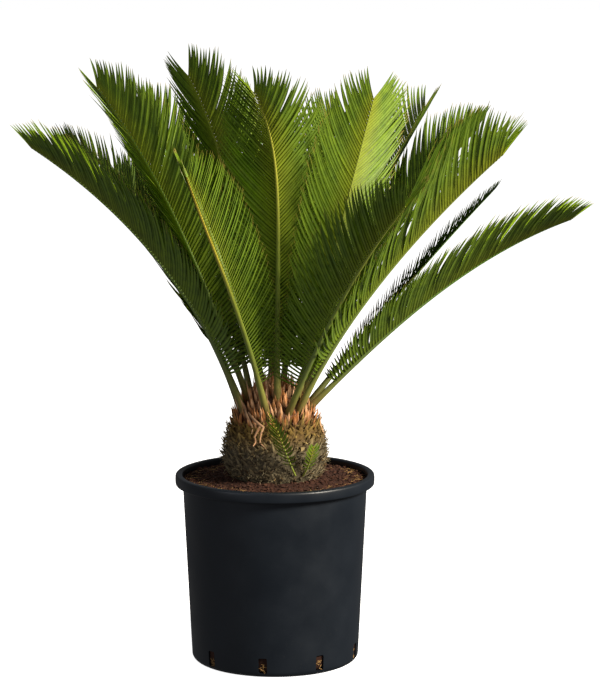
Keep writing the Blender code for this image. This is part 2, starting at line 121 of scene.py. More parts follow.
def lay_paper():
    half = PAPER_SIDE / 2
    mesh = bpy.data.meshes.new("paper_floor")
    mesh.from_pydata([(-half, -half, 0), (half, -half, 0), (half, half, 0), (-half, half, 0)], [], [(0, 1, 2, 3)])
    paper = bpy.data.objects.new("paper_floor", mesh)
    bpy.context.scene.collection.objects.link(paper)
    material, tree, shader = start_material("white_seamless_paper", 0.9, 1.45)
    fibres = add_node(tree, "ShaderNodeTexNoise", {"Scale": 60.0, "Detail": 3.0})
    tone = add_node(tree, "ShaderNodeMix", {"data_type": "RGBA"}, {0: fibres.outputs["Fac"]})
    tone.inputs[6].default_value = linear("#f8f8f7")
    tone.inputs[7].default_value = linear("#ffffff")
    tree.links.new(tone.outputs[2], shader.inputs["Base Color"])
    shader.inputs["Emission Color"].default_value = linear("#ffffff")
    shader.inputs["Emission Strength"].default_value = 0.95
    mesh.materials.append(material)
    paper.visible_diffuse = False
    paper.visible_glossy = False


set_studio()
lay_paper()

# Pot: a 30 cm nursery pot, injection moulded from charcoal polypropylene. It is one plain
# tapered shell with a rolled rim, and nine drainage slots low in its wall.
POT_HEIGHT = 0.284
POT_FOOT = 0.126
POT_FOOT_ROUND = 0.009
POT_WALL_TOP = 0.1386
POT_RIM = 0.150
POT_RIM_HEIGHT = 0.016
POT_MOUTH = 0.1390
POT_WALL = 0.0024
POT_FLOOR = 0.004
POT_SIDES = 240
SLOTS = 9
SLOT_FIRST = -8.5
SLOT_SIZE = (0.013, 0.0065, 0.030)
SLOT_CORNER = 0.0022
SLOT_REACH = (0.112, 0.137)


def on_circle(radius, angle, height):
    """A point at an angle that turns from the front (-Y) towards the right (+X)."""
    return Vector((radius * sin(angle), -radius * cos(angle), height))


def arc(middle_radius, middle_height, radius, start, end, steps):
    """Points of an arc in the turning plane; 0 degrees points outward and 90 up."""
    angles = [radians(start + (end - start) * k / steps) for k in range(steps + 1)]
    return [(middle_radius + radius * cos(a), middle_height + radius * sin(a)) for a in angles]


def turned_shell(profile, sides):
    """Turn an outline that starts and ends on the axis, as verts and faces."""
    verts = [Vector((0, 0, profile[0][1]))]
    for radius, height in profile[1:-1]:
        verts.extend(on_circle(radius, 2 * pi * k / sides, height) for k in range(sides))
    verts.append(Vector((0, 0, profile[-1][1])))
    rows = len(profile) - 2
    faces = []
    for k in range(sides):
        after = (k + 1) % sides
        faces.append((0, 1 + after, 1 + k))
        for row in range(rows - 1):
            low = 1 + row * sides
            faces.append((low + k, low + after, low + sides + after, low + sides + k))
        top = 1 + (rows - 1) * sides
        faces.append((top + k, top + after, len(verts) - 1))
    return verts, faces


def new_piece(name, verts, faces, materials, crease=40):
    mesh = bpy.data.meshes.new(name)
    mesh.from_pydata([tuple(v) for v in verts], [], faces)
    for material in materials:
        mesh.materials.append(material)
    shape = bmesh.new()
    shape.from_mesh(mesh)
    bmesh.ops.recalc_face_normals(shape, faces=shape.faces)
    shape.to_mesh(mesh)
    shape.free()
    mesh.shade_smooth()
    mesh.set_sharp_from_angle(angle=radians(crease))
    piece = bpy.data.objects.new(name, mesh)
    bpy.context.scene.collection.objects.link(piece)
    return piece


def pot_outline():
    ledge = POT_HEIGHT - POT_RIM_HEIGHT
    outline = [(0.0, 0.0012), (0.1120, 0.0012), (0.1132, 0.0)]
    outline += arc(POT_FOOT - POT_FOOT_ROUND, POT_FOOT_ROUND, POT_FOOT_ROUND, -90, 0, 8)
    outline += [(POT_FOOT + (POT_WALL_TOP - POT_FOOT) * k / 12, POT_FOOT_ROUND + (ledge - 0.0015 - POT_FOOT_ROUND) * k / 12)
                for k in range(1, 13)]
    outline += [(POT_WALL_TOP + 0.0012, ledge), (POT_RIM - 0.0022, ledge)]
    outline += arc(POT_RIM - 0.0022, ledge + 0.0018, 0.0018, -80, -10, 4)
    outline += [(POT_RIM - 0.0001, ledge + 0.0045), (POT_RIM, ledge + 0.0080), (POT_RIM - 0.0001, ledge + 0.0110)]
    outline += arc(POT_RIM - 0.0038, POT_HEIGHT - 0.0036, 0.0036, 10, 90, 6)
    outline += arc(POT_MOUTH + 0.0032, POT_HEIGHT - 0.0030, 0.0030, 90, 180, 5)
    outline += [(POT_MOUTH, ledge + 0.002), (POT_WALL_TOP - POT_WALL, ledge)]
    outline += [(POT_FOOT - POT_WALL, POT_FLOOR + POT_FOOT_ROUND), (POT_FOOT - POT_FOOT_ROUND, POT_FLOOR), (0.0, POT_FLOOR)]
    return outline


def slot_prism(angle):
    """A prism with rounded corners that cuts one drainage slot."""
    half = SLOT_SIZE[0] / 2 - SLOT_CORNER
    low = SLOT_SIZE[1] + SLOT_CORNER
    high = SLOT_SIZE[2] - SLOT_CORNER
    ring = []
    for x, z, start in ((half, low, -90), (half, high, 0), (-half, high, 90), (-half, low, 180)):
        ring += arc(x, z, SLOT_CORNER, start, start + 90, 4)
    out = on_circle(1.0, angle, 0.0)
    side = on_circle(1.0, angle + pi / 2, 0.0)
    verts = [out * reach + side * x + Vector((0, 0, z)) for reach in SLOT_REACH for x, z in ring]
    count = len(ring)
    faces = [tuple(range(count)), tuple(range(2 * count - 1, count - 1, -1))]
    faces += [(k, (k + 1) % count, (k + 1) % count + count, k + count) for k in range(count)]
    return verts, faces


def moulded_polypropylene():
    # Satin and almost black: a fine moulded grain, faint cloudy gloss, and a little dry dust.
    material, tree, shader = start_material("moulded_polypropylene", 0.42, 1.49)
    place = add_node(tree, "ShaderNodeTexCoord").outputs["Object"]
    cloud = add_node(tree, "ShaderNodeTexNoise", {"Scale": 1 / 0.060, "Detail": 4.0}, {"Vector": place})
    dust = add_node(tree, "ShaderNodeTexNoise", {"Scale": 1 / 0.004, "Detail": 6.0, "Roughness": 0.7}, {"Vector": place})
    tone = add_node(tree, "ShaderNodeMix", {"data_type": "RGBA"}, {0: cloud.outputs["Fac"]})
    tone.inputs[6].default_value = linear("#0c121a")
    tone.inputs[7].default_value = linear("#161e28")
    specks = add_node(tree, "ShaderNodeMapRange", {"From Min": 0.62, "From Max": 0.80, "To Max": 0.22},
                      {"Value": dust.outputs["Fac"]})
    dusty = add_node(tree, "ShaderNodeMix", {"data_type": "RGBA"}, {0: specks.outputs["Result"], 6: tone.outputs[2]})
    dusty.inputs[7].default_value = linear("#5b5046")
    tree.links.new(dusty.outputs[2], shader.inputs["Base Color"])
    gloss = add_node(tree, "ShaderNodeMapRange", {"From Min": 0.3, "From Max": 0.7, "To Min": 0.36, "To Max": 0.50},
                     {"Value": cloud.outputs["Fac"]})
    tree.links.new(gloss.outputs["Result"], shader.inputs["Roughness"])
    grain = add_node(tree, "ShaderNodeTexNoise", {"Scale": 1 / 0.0012, "Detail": 2.0}, {"Vector": place})
    bump = add_node(tree, "ShaderNodeBump", {"Strength": 0.12, "Distance": 0.0003}, {"Height": grain.outputs["Fac"]})
    tree.links.new(bump.outputs["Normal"], shader.inputs["Normal"])
    return material


def make_pot():
    pot = new_piece("nursery_pot", *turned_shell(pot_outline(), POT_SIDES), [moulded_polypropylene()], crease=35)
    verts = []
    faces = []
    for number in range(SLOTS):
        prism, prism_faces = slot_prism(radians(SLOT_FIRST + 360 * number / SLOTS))
        faces += [tuple(k + len(verts) for k in face) for face in prism_faces]
        verts += prism
    cutter = new_piece("slot_cutter", verts, faces, [])
    cut = pot.modifiers.new("slots", "BOOLEAN")
    cut.operation = "DIFFERENCE"
    cut.solver = "EXACT"
    cut.object = cutter
    bpy.context.view_layer.objects.active = pot
    bpy.ops.object.modifier_apply(modifier=cut.name)
    bpy.data.objects.remove(cutter, do_unlink=True)
    pot.data.set_sharp_from_angle(angle=radians(35))
    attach(pot, "root")
    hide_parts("pot")


make_pot()

# Soil: reddish brown peat and bark mix, filled to a little under the rim. Loose crumbs and
# short fibres lie on it, and pale root ends show in the drainage slots.
SOIL_LEVEL = 0.2745
SOIL_RINGS = 44
SOIL_SIDES = 300
SOIL_LUMP = 0.0014
SOIL_MOUND = 0.0065
SOIL_MOUND_REACH = 0.120
TRUNK_FOOT = 0.232
TRUNK_STEM = 0.068
CRUMBS = 3600
CRUMB_SIZE = (0.0008, 0.0030)
SOIL_FIBRES = 420
GAP = 0.0003


class Blades:
    """Many slim closed blades gathered into one mesh, each with what its material reads."""

    def __init__(self):
        self.verts = []
        self.faces = []
        self.marks = []
        self.slots = []
        self.count = 0

    def add(self, spine, side, front, half_width, half_thick, cup, marks, slot=0):
        """Add blades: spine, side, front are (blades, stations, 3), the rest (blades, stations).

        cup drops the two edges behind the middle; marks is (blades, 3): what the material
        reads of a whole blade.
        """
        blades, stations, _ = spine.shape
        wide = side * half_width[..., None]
        drop = front * cup[..., None]
        thick = front * half_thick[..., None]
        rings = np.stack((spine - wide - drop, spine + thick, spine + wide - drop, spine - thick), axis=2)
        size = stations * 4
        start = self.count + np.arange(blades) * size
        station = np.arange(stations - 1)[:, None] * 4
        corner = np.arange(4)[None, :]
        after = (corner + 1) % 4
        quads = np.stack((station + corner, station + after, station + 4 + after, station + 4 + corner), axis=-1)
        quads = quads.reshape(-1, 4)
        ends = np.array(((3, 2, 1, 0), tuple(size - 4 + k for k in range(4))))
        quads = np.concatenate((quads, ends))
        self.faces.append((start[:, None, None] + quads[None]).reshape(-1, 4))
        self.verts.append(rings.reshape(-1, 3))
        along = np.linspace(0, 1, stations)[None, :, None]
        under = np.array((0.5, 0.0, 0.5, 1.0))[None, None, :]
        first = np.broadcast_to(along, (blades, stations, 4))
        second = np.broadcast_to(under, (blades, stations, 4))
        whole = np.broadcast_to(marks[:, None, None, :], (blades, stations, 4, 3))
        self.marks.append(np.concatenate((first[..., None], second[..., None], whole), axis=-1).reshape(-1, 5))
        self.slots.append(np.full(blades * len(quads), slot))
        self.count += blades * size

    def add_solid(self, verts, faces, marks, slot=0):
        """Add any other closed shape of quads and triangles; marks is one row of five per vert."""
        self.faces.append([tuple(k + self.count for k in face) for face in faces])
        self.verts.append(np.array([tuple(v) for v in verts]))
        self.marks.append(np.array(marks))
        self.slots.append(np.full(len(faces), slot))
        self.count += len(verts)

    def piece(self, name, materials, crease=50):
        verts = np.concatenate(self.verts)
        faces = [tuple(face) for block in self.faces for face in block]
        item = new_piece(name, verts, faces, materials, crease)
        marks = np.concatenate(self.marks)
        for label, columns in (("blade", (0, 1, 2)), ("growth", (3, 4, 4))):
            layer = item.data.attributes.new(label, "FLOAT_VECTOR", "POINT")
            layer.data.foreach_set("vector", marks[:, columns].astype(np.float32).ravel())
        item.data.polygons.foreach_set("material_index", np.concatenate(self.slots).astype(np.int32))
        item.data.update()
        return item


def unit(rows):
    return rows / np.linalg.norm(rows, axis=-1, keepdims=True)


def peat_mix():
    # Damp peat and composted bark: dull, dark reddish brown, with grains of 1 to 3 mm.
    material, tree, shader = start_material("peat_potting_mix", 0.92, 1.45)
    place = add_node(tree, "ShaderNodeTexCoord").outputs["Object"]
    grains = add_node(tree, "ShaderNodeTexNoise", {"Scale": 1 / 0.0022, "Detail": 5.0, "Roughness": 0.65}, {"Vector": place})
    patches = add_node(tree, "ShaderNodeTexNoise", {"Scale": 1 / 0.018, "Detail": 3.0}, {"Vector": place})
    blade = add_node(tree, "ShaderNodeAttribute", {"attribute_name": "blade"})
    parts = add_node(tree, "ShaderNodeSeparateXYZ", None, {"Vector": blade.outputs["Vector"]})
    mixed = add_node(tree, "ShaderNodeMath", {"operation": "MULTIPLY_ADD"},
                     {0: patches.outputs["Fac"], 1: grains.outputs["Fac"], 2: parts.outputs["Z"]})
    ramp = add_node(tree, "ShaderNodeValToRGB", None, {"Fac": mixed.outputs["Value"]})
    ramp.color_ramp.elements[0].position = 0.10
    ramp.color_ramp.elements[0].color = linear("#23100a")
    ramp.color_ramp.elements[1].position = 0.95
    ramp.color_ramp.elements[1].color = linear("#5e3c28")
    middle = ramp.color_ramp.elements.new(0.45)
    middle.color = linear("#3f2113")
    tree.links.new(ramp.outputs["Color"], shader.inputs["Base Color"])
    bump = add_node(tree, "ShaderNodeBump", {"Strength": 0.7, "Distance": 0.0008}, {"Height": grains.outputs["Fac"]})
    tree.links.new(bump.outputs["Normal"], shader.inputs["Normal"])
    return material


def root_fibre():
    # Dry roots and straw: pale yellow brown, matt, streaked along their length.
    material, tree, shader = start_material("dry_root_fibre", 0.8, 1.45)
    place = add_node(tree, "ShaderNodeTexCoord").outputs["Object"]
    streak = add_node(tree, "ShaderNodeTexNoise", {"Scale": 1 / 0.003, "Detail": 3.0}, {"Vector": place})
    tone = add_node(tree, "ShaderNodeMix", {"data_type": "RGBA"}, {0: streak.outputs["Fac"]})
    tone.inputs[6].default_value = linear("#5d3c22")
    tone.inputs[7].default_value = linear("#b08d55")
    tree.links.new(tone.outputs[2], shader.inputs["Base Color"])
    return material


def soil_height(x, y):
    lump = noise.noise(Vector((x, y, 0.3)) / 0.016) + 0.6 * noise.noise(Vector((x, y, 4.1)) / 0.006)
    near = max(0.0, min(1.0, (SOIL_MOUND_REACH - (x * x + y * y) ** 0.5) / (SOIL_MOUND_REACH - TRUNK_STEM)))
    return SOIL_LEVEL + SOIL_LUMP * lump + SOIL_MOUND * near ** 1.5


def make_soil():
    rng = np.random.default_rng(7)
    hole = TRUNK_STEM + 2 * GAP
    edge = POT_MOUTH - GAP
    profile = [(0.0, TRUNK_FOOT - GAP), (hole, TRUNK_FOOT - GAP)]
    profile += [(hole + (edge - hole) * k / SOIL_RINGS, SOIL_LEVEL) for k in range(SOIL_RINGS + 1)]
    profile += [(POT_MOUTH - GAP, POT_HEIGHT - POT_RIM_HEIGHT + 0.0023), (POT_WALL_TOP - POT_WALL - GAP, 0.268)]
    profile += [(POT_FOOT - POT_WALL - GAP, POT_FLOOR + POT_FOOT_ROUND + GAP),
                (POT_FOOT - POT_FOOT_ROUND - GAP, POT_FLOOR + GAP), (0.0, POT_FLOOR + GAP)]
    verts, faces = turned_shell(profile, SOIL_SIDES)
    for vert in verts:
        if abs(vert.z - SOIL_LEVEL) < 1e-6:
            vert.z = soil_height(vert.x, vert.y)
    soil = Blades()
    soil.add_solid(verts, faces, [(0, 0, 0.12, 0, 0)] * len(verts))
    ball = bmesh.new()
    bmesh.ops.create_icosphere(ball, subdivisions=1, radius=1.0)
    crumb = np.array([tuple(v.co) for v in ball.verts])
    crumb_faces = [tuple(v.index for v in face.verts) for face in ball.faces]
    ball.free()
    for _ in range(CRUMBS):
        radius = (0.070 ** 2 + (0.1365 ** 2 - 0.070 ** 2) * rng.random()) ** 0.5
        foot = on_circle(radius, 2 * pi * rng.random(), 0.0)
        size = CRUMB_SIZE[0] + (CRUMB_SIZE[1] - CRUMB_SIZE[0]) * rng.random() ** 3
        shape = crumb * size * (1 + 0.30 * rng.standard_normal((len(crumb), 1)).clip(-1.5, 1.5))
        shape = shape * np.array((1 + 0.8 * rng.random(), 1.0, 0.6 + 0.3 * rng.random()))
        spin = 2 * pi * rng.random()
        turn = np.array(((cos(spin), -sin(spin), 0), (sin(spin), cos(spin), 0), (0, 0, 1)))
        shape = shape @ turn + np.array((foot.x, foot.y, soil_height(foot.x, foot.y) + 0.25 * size))
        tone = 0.10 + 0.30 * rng.random() ** 2
        soil.add_solid(shape, crumb_faces, [(0, 0, tone, 0, 0)] * len(shape))
    count = SOIL_FIBRES
    radius = np.sqrt(0.072 ** 2 + (0.134 ** 2 - 0.072 ** 2) * rng.random(count))
    angle = 2 * pi * rng.random(count)
    start = np.stack((radius * np.sin(angle), -radius * np.cos(angle), np.full(count, SOIL_LEVEL + 0.0015)), axis=1)
    heading = 2 * pi * rng.random(count)
    ahead = np.stack((np.cos(heading), np.sin(heading), 0.15 * rng.standard_normal(count)), axis=1)
    length = 0.004 + 0.010 * rng.random(count)
    steps = np.linspace(-0.5, 0.5, 4)
    side = unit(np.cross(ahead, (0, 0, 1)))
    spine = start[:, None] + ahead[:, None] * (length[:, None] * steps)[..., None]
    spine = spine + side[:, None] * (0.4 * length[:, None] * steps ** 2 * rng.standard_normal((count, 1)))[..., None]
    reach = np.hypot(spine[..., 0], spine[..., 1])
    spine[..., :2] *= np.minimum(1.0, 0.1375 / reach)[..., None]
    flat = np.broadcast_to(np.array((0.0, 0.0, 1.0)), spine.shape)
    wide = np.broadcast_to((0.0003 + 0.0005 * rng.random(count))[:, None], spine.shape[:2])
    marks = np.stack((rng.random(count), np.zeros(count), np.zeros(count)), axis=1)
    soil.add(spine, np.broadcast_to(side[:, None], spine.shape), flat, wide, wide * 0.4, wide * 0.2, marks, slot=1)
    add_slot_roots(soil, rng)
    piece = soil.piece("potting_mix", [peat_mix(), root_fibre()], crease=60)
    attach(piece, "root")
    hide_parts("soil")


def add_slot_roots(soil, rng):
    """Root ends that lie behind and in the lower part of each drainage slot."""
    for number in range(SLOTS):
        for _ in range(9):
            angle = radians(SLOT_FIRST + 360 * number / SLOTS) + rng.uniform(-0.035, 0.035)
            height = SLOT_SIZE[1] + 0.001 + 0.013 * rng.random() ** 1.5
            middle = np.array(on_circle(POT_FOOT - POT_WALL - 0.0006, angle, height))
            side = np.array(on_circle(1.0, angle + pi / 2, 0.0))
            out = np.array(on_circle(1.0, angle, 0.0))
            ahead = unit(side * rng.standard_normal() + np.array((0, 0, 0.6)) * rng.standard_normal())
            steps = np.linspace(-1, 1, 5)[:, None]
            spine = middle + ahead * steps * 0.0035 + out * (0.0012 * (1 - steps ** 2))
            across = unit(np.cross(ahead, out))
            shape = (1, 5, 3)
            width = np.full((1, 5), 0.00045 + 0.0003 * rng.random())
            soil.add(spine[None], np.broadcast_to(across, shape), np.broadcast_to(out, shape), width, width * 0.6,
                     width * 0.2, np.array(((rng.random(), 0.0, 0.0),)), slot=1)


make_soil()

# Trunk: a short bulb armoured with the dry stubs of shed leaves. It is grey-olive and woolly low
# down and ochre near the crown, with dark thorns all over and a few dead scales hanging loose.
TRUNK_TOP = 0.366
TRUNK_OUTLINE = ((0.2770, 0.0650), (0.284, 0.0690), (0.296, 0.0740), (0.312, 0.0765), (0.330, 0.0755),
                 (0.350, 0.0700), (TRUNK_TOP, 0.0625))
TRUNK_CORE_INSET = 0.0022
STUBS = 820
THORNS = 420
WOOL = 1300
GOLDEN_TURN = pi * (3 - 5 ** 0.5)
HANGING = (((-36, 0.386), (-24, 0.374), (-14, 0.366), (-17, 0.354), (-17, 0.344), (-9, 0.335)),
           ((-41, 0.390), (-37, 0.382), (-33, 0.374), (-32, 0.368), (-29, 0.362), (-28, 0.356)),
           ((-20, 0.372), (-19, 0.365), (-21, 0.360), (-24, 0.352), (-22, 0.344), (-24, 0.338)),
           ((74, 0.378), (77, 0.370), (74, 0.362), (78, 0.354), (80, 0.346), (77, 0.340)),
           ((-128, 0.380), (-124, 0.371), (-129, 0.362), (-133, 0.352), (-130, 0.344), (-135, 0.338)),
           ((160, 0.380), (157, 0.371), (161, 0.361), (166, 0.353), (164, 0.345), (168, 0.337)))
HANGING_WIDTH = 0.0024
PUP_CLEARING = (17, 16, 0.350)


def trunk_radius(height):
    return np.interp(height, [z for z, _ in TRUNK_OUTLINE], [r for _, r in TRUNK_OUTLINE])


def around(angle):
    """Outward and sideways directions at angles round the trunk."""
    out = np.stack((np.sin(angle), -np.cos(angle), np.zeros_like(angle)), axis=-1)
    side = np.stack((np.cos(angle), np.sin(angle), np.zeros_like(angle)), axis=-1)
    return out, side


def bent_blades(foot, ahead, side, length, bend, steps):
    """Spines that start along ahead and curve towards bend, with their side and front axes."""
    share = np.linspace(0, 1, steps)[None, :, None]
    spine = foot[:, None] + ahead[:, None] * length[:, None, None] * share
    spine = spine + bend[:, None] * length[:, None, None] * share ** 2
    way = unit(ahead[:, None] + 2 * bend[:, None] * share)
    front = unit(np.cross(way, np.broadcast_to(side[:, None], way.shape)))
    return spine, unit(np.cross(front, way)), front


def dried_leaf_bases():
    # Dead, fibrous and matt: grey-olive where it has weathered, ochre where it is younger.
    material, tree, shader = start_material("dried_leaf_bases", 0.88, 1.45)
    place = add_node(tree, "ShaderNodeTexCoord").outputs["Object"]
    blade = add_node(tree, "ShaderNodeSeparateXYZ", None,
                     {"Vector": add_node(tree, "ShaderNodeAttribute", {"attribute_name": "blade"}).outputs["Vector"]})
    growth = add_node(tree, "ShaderNodeSeparateXYZ", None,
                      {"Vector": add_node(tree, "ShaderNodeAttribute", {"attribute_name": "growth"}).outputs["Vector"]})
    stretch = add_node(tree, "ShaderNodeMapping", {"Scale": (1 / 0.0010, 1 / 0.0010, 1 / 0.0060)}, {"Vector": place})
    stretch.inputs["Scale"].default_value = (1 / 0.0010, 1 / 0.0010, 1 / 0.0060)
    fibre = add_node(tree, "ShaderNodeTexNoise", {"Scale": 1.0, "Detail": 4.0}, {"Vector": stretch.outputs["Vector"]})
    tone = add_node(tree, "ShaderNodeMath", {"operation": "MULTIPLY_ADD", "use_clamp": True},
                    {0: blade.outputs["Z"], 2: fibre.outputs["Fac"]})
    tone.inputs[1].default_value = 0.75
    shifted = add_node(tree, "ShaderNodeMapRange", {"From Min": 0.30, "From Max": 1.0}, {"Value": tone.outputs["Value"]})
    low = add_node(tree, "ShaderNodeMix", {"data_type": "RGBA"}, {0: shifted.outputs["Result"]})
    low.inputs[6].default_value = linear("#3a3224")
    low.inputs[7].default_value = linear("#9a8c6c")
    high = add_node(tree, "ShaderNodeMix", {"data_type": "RGBA"}, {0: shifted.outputs["Result"]})
    high.inputs[6].default_value = linear("#4a2c12")
    high.inputs[7].default_value = linear("#9c8040")
    climb = add_node(tree, "ShaderNodeMapRange", {"From Min": 0.50, "From Max": 0.80}, {"Value": growth.outputs["X"]})
    body = add_node(tree, "ShaderNodeMix", {"data_type": "RGBA"},
                    {0: climb.outputs["Result"], 6: low.outputs[2], 7: high.outputs[2]})
    # Painted shade: each stub is darkened towards its foot, down to 0.3 times, where the stubs crowd together.
    painted_foot_shade = add_node(tree, "ShaderNodeMapRange", {"From Max": 0.45, "To Min": 0.30}, {"Value": blade.outputs["X"]})
    darker = add_node(tree, "ShaderNodeMix", {"data_type": "RGBA", "blend_type": "MULTIPLY"}, {6: body.outputs[2]})
    darker.inputs[0].default_value = 1.0
    tree.links.new(painted_foot_shade.outputs["Result"], darker.inputs[7])
    tree.links.new(darker.outputs[2], shader.inputs["Base Color"])
    bump = add_node(tree, "ShaderNodeBump", {"Strength": 0.6, "Distance": 0.0004}, {"Height": fibre.outputs["Fac"]})
    tree.links.new(bump.outputs["Normal"], shader.inputs["Normal"])
    return material


def dead_thorn():
    # Hard dead tips, dark brown with a paler point.
    material, tree, shader = start_material("dead_thorn", 0.7, 1.45)
    blade = add_node(tree, "ShaderNodeSeparateXYZ", None,
                     {"Vector": add_node(tree, "ShaderNodeAttribute", {"attribute_name": "blade"}).outputs["Vector"]})
    tone = add_node(tree, "ShaderNodeMath", {"operation": "MULTIPLY"}, {0: blade.outputs["X"], 1: blade.outputs["Z"]})
    colour = add_node(tree, "ShaderNodeMix", {"data_type": "RGBA"}, {0: tone.outputs["Value"]})
    colour.inputs[6].default_value = linear("#2a1d12")
    colour.inputs[7].default_value = linear("#a5854f")
    tree.links.new(colour.outputs[2], shader.inputs["Base Color"])
    return material


def papery_bud_scale():
    # Thin dry scales of the bud: salmon orange and streaked lengthwise, with painted shade towards the foot of each
    # scale, where they overlap.
    material, tree, shader = start_material("papery_bud_scale", 0.72, 1.45)
    place = add_node(tree, "ShaderNodeTexCoord").outputs["Object"]
    blade = add_node(tree, "ShaderNodeSeparateXYZ", None,
                     {"Vector": add_node(tree, "ShaderNodeAttribute", {"attribute_name": "blade"}).outputs["Vector"]})
    stretch = add_node(tree, "ShaderNodeMapping", None, {"Vector": place})
    stretch.inputs["Scale"].default_value = (1 / 0.0012, 1 / 0.0012, 1 / 0.0150)
    streak = add_node(tree, "ShaderNodeTexNoise", {"Scale": 1.0, "Detail": 4.0}, {"Vector": stretch.outputs["Vector"]})
    tone = add_node(tree, "ShaderNodeMath", {"operation": "MULTIPLY_ADD"}, {0: blade.outputs["Z"], 2: streak.outputs["Fac"]})
    tone.inputs[1].default_value = 0.8
    ramp = add_node(tree, "ShaderNodeValToRGB", None, {"Fac": tone.outputs["Value"]})
    ramp.color_ramp.elements[0].position = 0.28
    ramp.color_ramp.elements[0].color = linear("#552c10")
    ramp.color_ramp.elements[1].position = 1.0
    ramp.color_ramp.elements[1].color = linear("#e6b487")
    middle = ramp.color_ramp.elements.new(0.62)
    middle.color = linear("#b8743a")
    # Painted shade: each scale is darkened towards its foot, down to 0.3 times.
    painted_foot_shade = add_node(tree, "ShaderNodeMapRange", {"From Max": 0.55, "To Min": 0.30}, {"Value": blade.outputs["X"]})
    darker = add_node(tree, "ShaderNodeMix", {"data_type": "RGBA", "blend_type": "MULTIPLY"}, {6: ramp.outputs["Color"]})
    darker.inputs[0].default_value = 1.0
    tree.links.new(painted_foot_shade.outputs["Result"], darker.inputs[7])
    tree.links.new(darker.outputs[2], shader.inputs["Base Color"])
    bump = add_node(tree, "ShaderNodeBump", {"Strength": 0.5, "Distance": 0.0003}, {"Height": streak.outputs["Fac"]})
    tree.links.new(bump.outputs["Normal"], shader.inputs["Normal"])
    return material


BUD_SCALE = papery_bud_scale()


